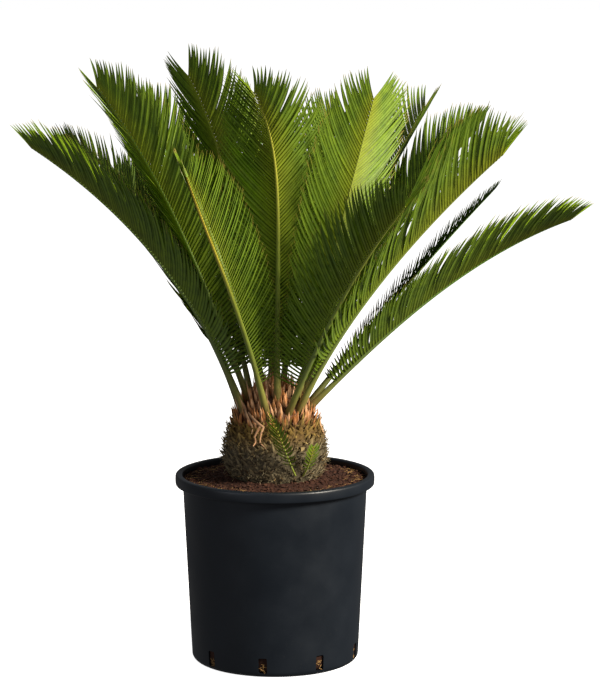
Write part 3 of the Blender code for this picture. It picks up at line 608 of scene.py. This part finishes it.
def make_trunk():
    rng = np.random.default_rng(21)
    trunk = Blades()
    profile = [(0.0, TRUNK_FOOT), (TRUNK_STEM, TRUNK_FOOT), (TRUNK_STEM, 0.2765)]
    profile += [(trunk_radius(z) - TRUNK_CORE_INSET, z) for z in np.linspace(0.2790, TRUNK_TOP, 30)]
    profile += [(0.0, TRUNK_TOP)]
    verts, faces = turned_shell(profile, 160)
    for vert in verts:
        if 0.277 < vert.z < TRUNK_TOP - 0.001:
            lump = 0.0012 * noise.noise(vert / 0.006)
            vert.x *= 1 + lump / 0.07
            vert.y *= 1 + lump / 0.07
    # Painted shade: the core takes a low tone and part of the foot darkening, so the gaps between the stubs look
    # shaded.
    marks = [(0.25, 0, 0.1, (vert.z - 0.277) / 0.09, 0) for vert in verts]
    trunk.add_solid(verts, faces, marks)

    number = np.arange(STUBS)
    height = 0.2775 + 0.0895 * (number + 0.5) / STUBS
    out, side = around(number * GOLDEN_TURN)
    up = np.array((0.0, 0.0, 1.0))
    foot = out * (trunk_radius(height) - 0.0030)[:, None] + up * height[:, None]
    tilt = np.radians(np.interp(height, (0.277, 0.300, 0.366), (46, 48, 22)) + 16 * rng.standard_normal(STUBS))
    roll = 0.38 * rng.standard_normal(STUBS)
    ahead = unit(up * np.cos(tilt)[:, None] + out * np.sin(tilt)[:, None] + side * roll[:, None])
    length = 0.0075 + 0.0060 * rng.random(STUBS)
    turn = (np.degrees(number * GOLDEN_TURN) + 180) % 360 - 180
    length *= np.where((abs(turn - PUP_CLEARING[0]) < PUP_CLEARING[1]) & (height < PUP_CLEARING[2]), 0.5, 1.0)
    bend = up * (0.10 + 0.30 * rng.standard_normal(STUBS))[:, None] + side * (0.22 * rng.standard_normal(STUBS))[:, None]
    spine, across, front = bent_blades(foot, ahead, side, length, bend, 5)
    wide = (0.0022 + 0.0016 * rng.random(STUBS))[:, None] * np.array((0.9, 1.0, 0.85, 0.6, 0.22))
    thick = np.broadcast_to(np.array((1.0, 0.9, 0.7, 0.45, 0.15)) * 0.001, wide.shape)
    marks = np.stack((rng.random(STUBS), (height - 0.277) / 0.09, np.zeros(STUBS)), axis=1)
    trunk.add(spine, across, -front, wide, thick, wide * 0.25, marks)

    height = 0.2785 + 0.090 * rng.random(THORNS)
    out, side = around(2 * pi * rng.random(THORNS))
    foot = out * (trunk_radius(height) - 0.001)[:, None] + up * height[:, None]
    ahead = unit(out + up * (0.5 + 0.8 * rng.standard_normal(THORNS))[:, None] + side * (0.45 * rng.standard_normal(THORNS))[:, None])
    length = 0.0055 + 0.0095 * rng.random(THORNS) ** 2
    bend = up * (0.25 * rng.random(THORNS))[:, None]
    spine, across, front = bent_blades(foot, ahead, side, length, bend, 4)
    wide = (0.0008 + 0.0007 * rng.random(THORNS))[:, None] * np.array((1.0, 0.8, 0.5, 0.10))
    marks = np.stack((rng.random(THORNS), (height - 0.277) / 0.09, np.zeros(THORNS)), axis=1)
    trunk.add(spine, across, front, wide, wide * 0.7, wide * 0.1, marks, slot=1)

    height = 0.2785 + 0.089 * rng.random(WOOL)
    out, side = around(2 * pi * rng.random(WOOL))
    foot = out * (trunk_radius(height) + 0.0005)[:, None] + up * height[:, None]
    ahead = unit(0.55 * out + up * (0.3 + 0.9 * rng.standard_normal(WOOL))[:, None] + side * (0.9 * rng.standard_normal(WOOL))[:, None])
    length = 0.004 + 0.007 * rng.random(WOOL)
    bend = unit(rng.standard_normal((WOOL, 3))) * 0.35
    spine, across, front = bent_blades(foot, ahead, side, length, bend, 4)
    wide = np.broadcast_to((0.00018 + 0.00016 * rng.random(WOOL))[:, None], (WOOL, 4))
    marks = np.stack((0.45 + 0.55 * rng.random(WOOL), (height - 0.277) / 0.09, np.zeros(WOOL)), axis=1)
    trunk.add(spine, across, front, wide, wide * 0.7, wide * 0.1, marks)

    run = np.linspace(0, len(HANGING[0]) - 1, 16)
    angle, height = (np.array([np.interp(run, range(len(HANGING[0])), [point[k] for point in strip])
                               for strip in HANGING]) for k in (0, 1))
    out, side = around(np.radians(angle))
    proud = 0.0060 + 0.0020 * np.sin(1.3 * run)[None]
    spine = out * (trunk_radius(height) + proud)[..., None] + up * height[..., None]
    way = unit(np.gradient(spine, axis=1))
    across = unit(np.cross(way, out))
    wide = HANGING_WIDTH * np.interp(run, (0, 1, 2.5, 4.5, 5), (0.7, 1, 0.6, 0.45, 0.1)) * np.ones((len(HANGING), 1))
    marks = np.stack((0.45 + 0.35 * rng.random(len(HANGING)), np.ones(len(HANGING)), np.zeros(len(HANGING))), axis=1)
    trunk.add(spine, across, np.cross(across, way), wide, wide * 0.12, wide * 0.35, marks, slot=2)

    piece = trunk.piece("leaf_base_trunk", [dried_leaf_bases(), dead_thorn(), BUD_SCALE], crease=55)
    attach(piece, "root")
    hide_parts("trunk")


make_trunk()

# Leaf stalks: each frond hangs on one curved stalk that is seated in the crown. Its line is
# worked out first, because the bud scales and the leaflets have to stay clear of all of them.
Frond = namedtuple("Frond", "seat ring heading length lean_foot lean_tip bend swing leaflet left right turn_left turn_right fresh gold")

# Degrees and metres. Seat and heading turn from the front to the right, a lean is measured from
# upright and grows by the power bend, swing turns the tip sideways. Left and right are how far
# each comb is raised, seen from outside, and the turns are how far its leaflets are rolled round
# their own length. Gold is colour. Fresh is colour, young or old, and it also sets painted light
# on the stalk: fresher fronds get brighter stalks.
FRONDS = (
    Frond(-14, "outer", -28, 0.461, 23.5, 47, 0.92, 15, 0.110, 60, 55, 22, 22, 0.75, 0.8),
    Frond(23, "outer", 36, 0.427, 32.5, 49.7, 1.42, 0.5, 0.128, 40, 35, 14, 22, 0.65, 0.3),
    Frond(5, "middle", 9, 0.480, 1, 32.5, 2.0, -65, 0.132, 0, 22, 22, 18, 0.95, 0.5),
    Frond(43, "outer", 67, 0.503, 22, 48.5, 0.6, 0, 0.168, 60, 30, 0, 10, 0.90, 0.3),
    Frond(-63, "outer", -79, 0.512, 19, 56.5, 0.96, 9, 0.126, 38, 26, 14, 16, 0.60, 0.1),
    Frond(81, "outer", 82, 0.486, 44.5, 69, 1.85, -11, 0.118, 34, 30, 10, 10, 0.80, 0.0),
    Frond(53.5, "middle", 75, 0.466, 13.5, 15.5, 0.945, -14, 0.135, 38, -26, 22, -20, 0.80, 0.3),
    Frond(-77, "middle", -72, 0.521, 20, 37.5, 2.1, -6, 0.126, -5, 55, 0, 14, 0.75, 0.1),
    Frond(-58.5, "inner", -70, 0.489, 6.8, 27.75, 2.44, -6, 0.135, -16, 50, -10, 22, 0.55, 0.3),
    Frond(130, "middle", 136, 0.510, 27, 44, 1.0, 0, 0.125, 45, 45, 22, 22, 0.25, 0.0),
    Frond(95, "middle", 110, 0.485, 25, 46, 1.0, 0, 0.125, 45, 45, 22, 22, 0.25, 0.0),
    Frond(108, "outer", 112, 0.440, 41, 48, 1.0, 0, 0.055, 44, 8, -30, -30, 0.0, 0.0),
    Frond(-118, "middle", -125, 0.475, 12, 40, 1.0, 0, 0.125, 45, 68, -10, -10, 0.25, 0.0),
    Frond(-98, "outer", -102, 0.470, 20, 52, 1.0, 0, 0.120, 45, 68, -10, -10, 0.25, 0.0),
    Frond(-170, "inner", -172, 0.450, 8, 36, 1.3, 0, 0.130, 45, 45, -10, -10, 0.35, 0.0),
    Frond(165, "middle", 150, 0.450, 14, 36, 1.0, 0, 0.130, 45, 45, -10, -10, 0.25, 0.0),
    Frond(138, "outer", 140, 0.470, 34, 62, 1.0, 0, 0.125, 45, 45, -10, -10, 0.20, 0.0),
    Frond(168, "outer", 172, 0.475, 30, 62, 1.0, 0, 0.125, 45, 45, -10, -10, 0.20, 0.0),
    Frond(-165, "outer", -162, 0.475, 32, 62, 1.0, 0, 0.125, 45, 45, -10, -10, 0.20, 0.0),
    Frond(-135, "outer", -142, 0.475, 34, 62, 1.0, 0, 0.125, 45, 45, -10, -10, 0.20, 0.0),
)
RINGS = {"outer": (0.0545, 0.3860), "middle": (0.0420, 0.3990), "inner": (0.0260, 0.4085)}
BARE_PART = 0.11
SEAT_DEPTH = 0.013
STALK_WIDTHS = (0.0061, 0.0044, 0.0011)
CLEARANCE = 0.0004
BOX_FACES = ((0, 1, 2), (0, 2, 3), (4, 6, 5), (4, 7, 6), (0, 4, 5), (0, 5, 1),
             (1, 5, 6), (1, 6, 2), (2, 6, 7), (2, 7, 3), (3, 7, 4), (3, 4, 0))


class Stalk:
    """A stalk's line, read at any share of its length: point and axes."""

    def __init__(self, foot, plan, widths, depth):
        self.plan = plan
        self.widths = widths
        self.depth = depth / plan.length
        self.grid = np.linspace(0, 1, 1201)
        middle = (self.grid[1:] + self.grid[:-1]) / 2
        steps = self.axes(middle)[0] * plan.length / 1200
        self.line = np.concatenate((np.zeros((1, 3)), np.cumsum(steps, axis=0))) + np.array(foot)

    def axes(self, share):
        """Along the stalk, its inner side, and across it."""
        plan = self.plan
        share = np.maximum(share, 0.0)
        lean = np.radians(plan.lean_foot + (plan.lean_tip - plan.lean_foot) * share ** plan.bend)
        turn = np.radians(plan.heading + plan.swing * share ** 3)
        along = np.stack((np.sin(lean) * np.sin(turn), -np.sin(lean) * np.cos(turn), np.cos(lean)), axis=-1)
        inner = np.stack((-np.cos(lean) * np.sin(turn), np.cos(lean) * np.cos(turn), np.sin(lean)), axis=-1)
        return along, inner, np.cross(along, inner)

    def point(self, share):
        share = np.asarray(share, dtype=float)
        found = np.stack([np.interp(share, self.grid, self.line[:, k]) for k in range(3)], axis=-1)
        return found + self.axes(share)[0] * (np.minimum(share, 0.0) * self.plan.length)[..., None]

    def width(self, share):
        return np.interp(share, (0.0, BARE_PART, 1.0), self.widths)

    def tube(self, shares, sides, extra=0.0, round_off=False):
        """A closed tube: rings of verts and their quads."""
        point = self.point(shares)
        _, inner, across = self.axes(shares)
        size = self.width(shares) + extra
        if round_off:
            size = size * np.minimum(1.0, (1.002 - shares) / 0.01) ** 0.5
        angle = 2 * pi * np.arange(sides) / sides
        x = np.cos(angle)[None, :] * size[:, None]
        y = (0.92 * np.sin(angle) + 0.08)[None, :] * size[:, None]
        verts = point[:, None] + across[:, None] * x[..., None] + inner[:, None] * y[..., None]
        faces = [tuple(range(sides)), tuple(len(shares) * sides - 1 - k for k in range(sides))]
        for row in range(len(shares) - 1):
            for k in range(sides):
                after = (k + 1) % sides
                low = row * sides
                faces.append((low + k, low + after, low + sides + after, low + sides + k))
        return verts.reshape(-1, 3), faces


class Crowd:
    """All that stands already, for testing what comes next."""

    def __init__(self):
        self.parts = []
        self.tree = None

    def add(self, owner, verts, faces):
        self.parts.append((owner, [Vector(v) for v in verts], [tuple(face) for face in faces]))

    def look(self, owner):
        """Build the test tree without what belongs to the owner itself."""
        verts = []
        faces = []
        for name, part_verts, part_faces in self.parts:
            if name != owner:
                faces += [tuple(k + len(verts) for k in face) for face in part_faces]
                verts += part_verts
        self.tree = BVHTree.FromPolygons(verts, faces)

    def hits(self, body):
        return bool(self.tree.overlap(BVHTree.FromPolygons(body, BOX_FACES)))


def box_between(foot, end, side, front, half_width, half_thick):
    """A slim box along a blade, for the touch test."""
    side = Vector(side) * half_width
    front = Vector(front) * half_thick
    foot = Vector(foot)
    end = Vector(end)
    corners = (-side - front, side - front, side + front, front - side)
    return [foot + corner for corner in corners] + [end + corner * 0.5 for corner in corners]


def plan_stalks():
    stalks = []
    for frond in FRONDS:
        radius, height = RINGS[frond.ring]
        stalks.append(Stalk(on_circle(radius, radians(frond.seat), height), frond, STALK_WIDTHS, SEAT_DEPTH))
    return stalks


stalks = plan_stalks()
crowd = Crowd()
for number, stalk in enumerate(stalks, 1):
    crowd.add(f"leaf_{number:02d}", *stalk.tube(np.linspace(0, 1, 60), 4, CLEARANCE))

# Crown: a low dome of long papery bud scales that stand between the stalks. They are dry,
# salmon orange and channelled, with thin points, and the outer ones are short and brown.
CROWN_OUTLINE = ((0.0620, 0.3663), (0.0590, 0.378), (0.0520, 0.390), (0.0420, 0.400), (0.0280, 0.408),
                 (0.0110, 0.412))
CROWN_SCALES = 340
CROWN_INSET = 0.0015
SCALE_LENGTH = (0.014, 0.034)
SCALE_SHARES = (1.0, 0.85, 0.7, 0.55, 0.42)


def make_crown():
    rng = np.random.default_rng(5)
    radii = np.array([r for r, _ in CROWN_OUTLINE])
    heights = np.array([z for _, z in CROWN_OUTLINE])
    crown = Blades()
    profile = [(0.0, 0.3663)] + [(r - CROWN_INSET, z) for r, z in CROWN_OUTLINE] + [(0.0, 0.4115)]
    verts, faces = turned_shell(profile, 96)
    # Painted shade: the dome under the scales takes a low tone and the full foot darkening, so the gaps between the
    # scales look shaded.
    crown.add_solid(verts, faces, [(0.0, 0, 0.0, 0, 0)] * len(verts))
    run = np.concatenate(((0.0,), np.cumsum(np.hypot(np.diff(radii), np.diff(heights)))))
    area = np.concatenate(((0.0,), np.cumsum(np.diff(run) * (radii[1:] + radii[:-1]) / 2)))
    crowd.look("")
    kept = []
    for number in range(CROWN_SCALES):
        share = (number + 0.5) / CROWN_SCALES
        place = np.interp(share * area[-1], area, run)
        low = 0.013 * rng.random() * max(0.0, 1 - 3 * place / run[-1])
        radius = np.interp(place, run, radii) - 0.001 + 0.45 * low
        height = np.interp(place, run, heights) - low
        out, side = around(np.array(number * GOLDEN_TURN + 0.2 * rng.random()))
        foot = out * radius + np.array((0, 0, height))
        inward = place / run[-1]
        spread = 0.42 * (1 - inward) + 0.08 * rng.standard_normal()
        ahead = unit(out * spread + side * 0.10 * rng.standard_normal() + np.array((0, 0, 1.0)))
        length = SCALE_LENGTH[0] + (SCALE_LENGTH[1] - SCALE_LENGTH[0]) * rng.random() * (0.45 + 0.55 * min(1, inward * 2.2))
        bend = out * (-0.16 + 0.10 * rng.standard_normal()) + side * 0.08 * rng.standard_normal()
        wide = 0.0022 + 0.0020 * rng.random()
        tone = 0.05 + 0.85 * rng.random() * (0.35 + 0.65 * min(1.0, inward * 2.5))
        for part in SCALE_SHARES:
            middle = foot + ahead * length * part * 0.5 + bend * length * part * 0.25
            end = foot + ahead * length * part + bend * length * part
            lower = box_between(foot + ahead * 0.002, middle, side, out, wide, 0.0012)
            upper = box_between(middle, end, side, out, wide * 0.8, 0.0010)
            if not crowd.hits(lower) and not crowd.hits(upper):
                kept.append((foot, ahead, side, length * part, bend, wide, tone, inward))
                break
    foot, ahead, side, length, bend, wide, tone, inward = (np.array(column) for column in zip(*kept))
    spine, across, front = bent_blades(foot, ahead, side, length, bend, 8)
    shape = wide[:, None] * np.array((0.85, 1.0, 1.0, 0.85, 0.62, 0.38, 0.20, 0.05))
    marks = np.stack((tone, inward, np.zeros(len(tone))), axis=1)
    crown.add(spine, across, -front, shape, shape * 0.10 + 0.0001, shape * 0.40, marks)
    piece = crown.piece("bud_scale_crown", [BUD_SCALE], crease=55)
    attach(piece, "root")
    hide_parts("crown")


make_crown()

# Fronds: twenty feather leaves. Each has two combs of stiff narrow leaflets along its stalk,
# raised in a V, short at the foot and the tip, glossy above and paler below, with needle points.
LEAFLET_PITCH = 0.0056
LEAFLET_STATIONS = 9
LEAFLET_HALF_WIDTH = 0.0025
LENGTH_ALONG = ((0.0, 0.32), (0.08, 0.50), (0.20, 0.71), (0.35, 0.90), (0.55, 1.0), (0.75, 0.90),
                (0.88, 0.70), (0.95, 0.50), (1.0, 0.36))
ANGLE_ALONG = ((0.0, 82), (0.08, 68), (0.20, 53), (0.35, 45), (0.55, 40), (0.80, 38), (0.93, 34), (1.0, 26))
RAISE_STEP = 3
RAISE_TRIES = 9
RAISE_RANGE = (-30, 70)
RAISE_RETURN = 2.0
SHARES = (1.0, 0.85, 0.7, 0.55, 0.4, 0.25, 0.12)
ARCH = 0.035


def leaf_blade():
    # Cycad leaflet: glossy waxy green, a pale midrib above, paler below, a straw-coloured point, and painted shade
    # along both long edges.
    material, tree, shader = start_material("cycad_leaf_blade", 0.40, 1.45)
    place = add_node(tree, "ShaderNodeTexCoord").outputs["Object"]
    blade = add_node(tree, "ShaderNodeSeparateXYZ", None,
                     {"Vector": add_node(tree, "ShaderNodeAttribute", {"attribute_name": "blade"}).outputs["Vector"]})
    growth = add_node(tree, "ShaderNodeSeparateXYZ", None,
                      {"Vector": add_node(tree, "ShaderNodeAttribute", {"attribute_name": "growth"}).outputs["Vector"]})
    mottle = add_node(tree, "ShaderNodeTexNoise", {"Scale": 1 / 0.012, "Detail": 4.0}, {"Vector": place})
    tone = add_node(tree, "ShaderNodeMath", {"operation": "MULTIPLY_ADD"}, {0: blade.outputs["Z"], 2: mottle.outputs["Fac"]})
    tone.inputs[1].default_value = 0.6
    shifted = add_node(tree, "ShaderNodeMapRange", {"From Min": 0.35, "From Max": 1.05}, {"Value": tone.outputs["Value"]})
    old = add_node(tree, "ShaderNodeMix", {"data_type": "RGBA"}, {0: shifted.outputs["Result"]})
    old.inputs[6].default_value = linear("#1a2e04")
    old.inputs[7].default_value = linear("#34500a")
    young = add_node(tree, "ShaderNodeMix", {"data_type": "RGBA"}, {0: shifted.outputs["Result"]})
    young.inputs[6].default_value = linear("#456605")
    young.inputs[7].default_value = linear("#8caa14")
    body = add_node(tree, "ShaderNodeMix", {"data_type": "RGBA"},
                    {0: growth.outputs["Y"], 6: old.outputs[2], 7: young.outputs[2]})
    below = add_node(tree, "ShaderNodeMapRange", {"From Min": 0.45, "To Max": 0.45}, {"Value": blade.outputs["Y"]})
    bloom = add_node(tree, "ShaderNodeMath", {"operation": "MULTIPLY"}, {0: below.outputs["Result"], 1: growth.outputs["Y"]})
    pale = add_node(tree, "ShaderNodeMix", {"data_type": "RGBA"}, {0: bloom.outputs["Value"], 6: body.outputs[2]})
    pale.inputs[7].default_value = linear("#86a05a")
    rib = add_node(tree, "ShaderNodeMapRange", {"From Max": 0.10, "To Min": 0.55, "To Max": 0.0}, {"Value": blade.outputs["Y"]})
    ribbed = add_node(tree, "ShaderNodeMix", {"data_type": "RGBA"}, {0: rib.outputs["Result"], 6: pale.outputs[2]})
    ribbed.inputs[7].default_value = linear("#a2ba3a")
    base = add_node(tree, "ShaderNodeMapRange", {"From Max": 0.35, "To Min": 0.55, "To Max": 0.0}, {"Value": blade.outputs["X"]})
    higher = add_node(tree, "ShaderNodeMath", {"operation": "MULTIPLY"}, {0: growth.outputs["X"], 1: growth.outputs["Y"]})
    budding = add_node(tree, "ShaderNodeMath", {"operation": "MULTIPLY"}, {0: base.outputs["Result"], 1: higher.outputs["Value"]})
    based = add_node(tree, "ShaderNodeMix", {"data_type": "RGBA"}, {0: budding.outputs["Value"], 6: ribbed.outputs[2]})
    based.inputs[7].default_value = linear("#a89c16")
    # Painted shade: each leaflet is darkened towards both long edges, to 0.3 times, and lifted to 1.06 along its
    # middle, so dark lines show between neighbours.
    off_edge = add_node(tree, "ShaderNodeMath", {"operation": "SUBTRACT"}, {0: blade.outputs["Y"]})
    across = add_node(tree, "ShaderNodeMath", {"operation": "ABSOLUTE"}, {0: off_edge.outputs["Value"]})
    painted_edge_shade = add_node(tree, "ShaderNodeMapRange", {"From Max": 0.24, "To Min": 0.30, "To Max": 1.06}, {"Value": across.outputs["Value"]})
    edged = add_node(tree, "ShaderNodeMix", {"data_type": "RGBA", "blend_type": "MULTIPLY"}, {6: based.outputs[2]})
    edged.inputs[0].default_value = 1.0
    tree.links.new(painted_edge_shade.outputs["Result"], edged.inputs[7])
    end = add_node(tree, "ShaderNodeMapRange", {"From Min": 0.90, "From Max": 0.99, "To Max": 0.85}, {"Value": blade.outputs["X"]})
    tipped = add_node(tree, "ShaderNodeMix", {"data_type": "RGBA"}, {0: end.outputs["Result"], 6: edged.outputs[2]})
    tipped.inputs[7].default_value = linear("#a58a45")
    tree.links.new(tipped.outputs[2], shader.inputs["Base Color"])
    gloss = add_node(tree, "ShaderNodeMapRange", {"To Min": 0.32, "To Max": 0.50}, {"Value": mottle.outputs["Fac"]})
    tree.links.new(gloss.outputs["Result"], shader.inputs["Roughness"])
    shader.inputs["Specular IOR Level"].default_value = 0.28
    veins = add_node(tree, "ShaderNodeTexNoise", {"Scale": 1 / 0.0012, "Detail": 2.0}, {"Vector": place})
    bump = add_node(tree, "ShaderNodeBump", {"Strength": 0.15, "Distance": 0.0002}, {"Height": veins.outputs["Fac"]})
    tree.links.new(bump.outputs["Normal"], shader.inputs["Normal"])
    return material


def leaf_stalk():
    # Cycad stalk: smooth and waxy, brown and scurfy at its foot, then olive, then yellow green.
    material, tree, shader = start_material("cycad_leaf_stalk", 0.45, 1.45)
    place = add_node(tree, "ShaderNodeTexCoord").outputs["Object"]
    blade = add_node(tree, "ShaderNodeSeparateXYZ", None,
                     {"Vector": add_node(tree, "ShaderNodeAttribute", {"attribute_name": "blade"}).outputs["Vector"]})
    growth = add_node(tree, "ShaderNodeSeparateXYZ", None,
                      {"Vector": add_node(tree, "ShaderNodeAttribute", {"attribute_name": "growth"}).outputs["Vector"]})
    scurf = add_node(tree, "ShaderNodeTexNoise", {"Scale": 1 / 0.005, "Detail": 4.0}, {"Vector": place})
    shifted = add_node(tree, "ShaderNodeMath", {"operation": "MULTIPLY_ADD"}, {0: scurf.outputs["Fac"], 2: blade.outputs["X"]})
    shifted.inputs[1].default_value = 0.10
    green = add_node(tree, "ShaderNodeValToRGB", None, {"Fac": shifted.outputs["Value"]})
    green.color_ramp.elements[0].position = 0.06
    green.color_ramp.elements[0].color = linear("#7c6c3a")
    green.color_ramp.elements[1].position = 0.75
    green.color_ramp.elements[1].color = linear("#6f9440")
    for position, colour in ((0.12, "#7f8240"), (0.22, "#6f7f45")):
        green.color_ramp.elements.new(position).color = linear(colour)
    ripe = add_node(tree, "ShaderNodeValToRGB", None, {"Fac": shifted.outputs["Value"]})
    ripe.color_ramp.elements[0].position = 0.06
    ripe.color_ramp.elements[0].color = linear("#7c6c3a")
    ripe.color_ramp.elements[1].position = 0.75
    ripe.color_ramp.elements[1].color = linear("#cdb43c")
    for position, colour in ((0.12, "#8d8d42"), (0.30, "#7f8c34"), (0.50, "#a9b040")):
        ripe.color_ramp.elements.new(position).color = linear(colour)
    body = add_node(tree, "ShaderNodeMix", {"data_type": "RGBA"},
                    {0: blade.outputs["Z"], 6: green.outputs["Color"], 7: ripe.outputs["Color"]})
    # Painted light: stalks of fresher fronds are brightened and those of older fronds darkened, from 0.70 to 1.15
    # times.
    light = add_node(tree, "ShaderNodeMapRange", {"To Min": 0.70, "To Max": 1.15}, {"Value": growth.outputs["Y"]})
    lit = add_node(tree, "ShaderNodeMix", {"data_type": "RGBA", "blend_type": "MULTIPLY"}, {6: body.outputs[2]})
    lit.inputs[0].default_value = 1.0
    tree.links.new(light.outputs["Result"], lit.inputs[7])
    tree.links.new(lit.outputs[2], shader.inputs["Base Color"])
    bump = add_node(tree, "ShaderNodeBump", {"Strength": 0.2, "Distance": 0.0003}, {"Height": scurf.outputs["Fac"]})
    tree.links.new(bump.outputs["Normal"], shader.inputs["Normal"])
    return material


LEAF_FINISHES = [leaf_blade(), leaf_stalk()]


def leaflet_axes(stalk, share, along, side_sign, opening, raised):
    """Root, direction, width axis and upper face of one leaflet."""
    way, inner, across = (axis for axis in stalk.axes(share))
    opening = radians(opening)
    raised = radians(raised)
    outward = across * side_sign * cos(raised) + inner * sin(raised)
    ahead = way * cos(opening) + outward * sin(opening)
    wide = unit(way - ahead * way.dot(ahead))
    upper = inner * cos(raised) - across * side_sign * sin(raised)
    tilt = radians(stalk.plan.turn_left if side_sign > 0 else stalk.plan.turn_right)
    turned_wide = wide * cos(tilt) - upper * sin(tilt)
    turned_upper = upper * cos(tilt) + wide * sin(tilt)
    size = stalk.width(share)
    root = stalk.point(share) + across * side_sign * 0.7 * size + inner * 0.25 * size
    return root, ahead, turned_wide, turned_upper


def make_leaf(name, node, stalk, pairs, half_width, seed, scurf=0.0):
    rng = np.random.default_rng(seed)
    plan = stalk.plan
    crowd.look(name)
    leaf = Blades()
    shares = np.concatenate(((-stalk.depth,), np.linspace(0, 0.995, 64), (1.0,)))
    verts, faces = stalk.tube(shares, 10, round_off=True)
    rows = np.repeat(np.maximum(shares, scurf), 10)
    leaf.add_solid(verts, faces, np.stack((rows, 0 * rows, 0 * rows + plan.gold, rows, 0 * rows + plan.fresh), axis=1), slot=1)
    boxes = []
    rows = []
    for side_sign, natural_raise in ((-1, plan.right), (1, plan.left)):
        before = natural_raise
        drift = 0.5
        for pair in range(pairs):
            along = (pair + 0.5) / pairs
            share = BARE_PART + (1 - BARE_PART) * along
            opening = np.interp(along, *zip(*ANGLE_ALONG)) + 0.9 * rng.standard_normal()
            longest = plan.leaflet * np.interp(along, *zip(*LENGTH_ALONG)) * (1 + 0.025 * rng.standard_normal())
            before += max(-RAISE_RETURN, min(RAISE_RETURN, natural_raise - before))
            tries = [before]
            for k in range(1, RAISE_TRIES + 1):
                tries += [before + k * RAISE_STEP, before - k * RAISE_STEP]
            tries = [value for value in tries if RAISE_RANGE[0] <= value <= RAISE_RANGE[1]]
            found = None
            for part in SHARES:
                for raised in tries:
                    root, ahead, wide, upper = leaflet_axes(stalk, share, along, side_sign, opening, raised)
                    foot = root + ahead * stalk.width(share)
                    body = box_between(foot, root + ahead * longest * part, wide, upper, half_width * 0.8, CLEARANCE)
                    if not crowd.hits(body):
                        found = (raised, part, body)
                        break
                if found:
                    break
            if not found:
                continue
            before, part, body = found
            boxes.append(body)
            root, ahead, wide, upper = leaflet_axes(stalk, share, along, side_sign, opening,
                                                    before + 1.2 * rng.standard_normal())
            drift = 0.85 * drift + 0.15 * rng.random()
            tone = 0.5 * drift + 0.5 * rng.random()
            rows.append((root, ahead, wide, upper, longest * part, side_sign, along, tone, *rng.standard_normal(3)))
    root, ahead, wide, upper, length, sign, along, tone, sway, lift, turn = (np.array(c) for c in zip(*rows))
    bend = wide * (0.012 * sway)[:, None] - upper * (0.010 + 0.012 * lift)[:, None]
    run = np.linspace(0, 1, LEAFLET_STATIONS) ** 0.9
    spine = root[:, None] + ahead[:, None] * (length[:, None] * run)[..., None]
    spine = spine + bend[:, None] * (length[:, None] * run ** 2)[..., None]
    spine = spine - wide[:, None] * (length[:, None] * 4 * ARCH * run * (1 - run))[..., None]
    twist = (0.12 * turn * 1.0)[:, None] * run
    wide_run = wide[:, None] * np.cos(twist)[..., None] + upper[:, None] * np.sin(twist)[..., None]
    upper_run = upper[:, None] * np.cos(twist)[..., None] - wide[:, None] * np.sin(twist)[..., None]
    taper = np.interp(run, (0.0, 0.04, 0.12, 0.50, 0.68, 0.82, 0.94, 1.0), (0.75, 0.96, 1.0, 1.0, 0.84, 0.56, 0.26, 0.05))
    size = half_width * (0.55 + 0.45 * np.minimum(1.0, length / 0.08))[:, None] * taper
    marks = np.stack((tone, along, np.full(len(tone), plan.fresh)), axis=1)
    leaf.add(spine, wide_run, upper_run, size, size * 0.10 + 0.00008, size * 0.45, marks)
    for number, body in enumerate(boxes):
        crowd.add(name, body, BOX_FACES)
    piece = leaf.piece(name, LEAF_FINISHES, crease=50)
    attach(piece, "root")
    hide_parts(node)


def leaflet_pairs(plan):
    return round((1 - BARE_PART) * plan.length / LEAFLET_PITCH)


for number, stalk in enumerate(stalks, 1):
    make_leaf(f"leaf_{number:02d}", f"frond_{number:02d}", stalk, leaflet_pairs(stalk.plan),
              LEAFLET_HALF_WIDTH, 100 + number)

# Pup: two young leaves of an offset that breaks out of the front of the trunk. They are thin,
# pale yellow green and have few leaflets.
Pup = namedtuple("Pup", "seat height heading length lean_foot lean_tip bend swing leaflet pairs left right turn_left turn_right "
                 "fresh gold")
PUPS = (
    Pup(21, 0.300, -30, 0.104, 38, 22, 1.0, -40, 0.028, 14, -5, -5, 12, 12, 1.0, 0.5),
    Pup(36, 0.297, 30, 0.050, 42, 16, 1.0, 0, 0.018, 8, -5, -5, 12, 12, 1.0, 0.5),
)
PUP_SEAT_DEPTH = 0.009
PUP_PROUD = 0.002
PUP_WIDTHS = (0.0014, 0.0012, 0.0006)
PUP_LEAFLET_HALF_WIDTH = 0.0031


def plan_pups():
    found = []
    for pup in PUPS:
        radius = trunk_radius(pup.height) + PUP_PROUD
        foot = on_circle(radius, radians(pup.seat), pup.height)
        found.append(Stalk(foot, pup, PUP_WIDTHS, PUP_SEAT_DEPTH))
    return found


for number, stalk in enumerate(plan_pups(), 1):
    make_leaf(f"pup_leaf_{number:02d}", f"pup_frond_{number:02d}", stalk, stalk.plan.pairs, PUP_LEAFLET_HALF_WIDTH,
              200 + number, scurf=0.45)
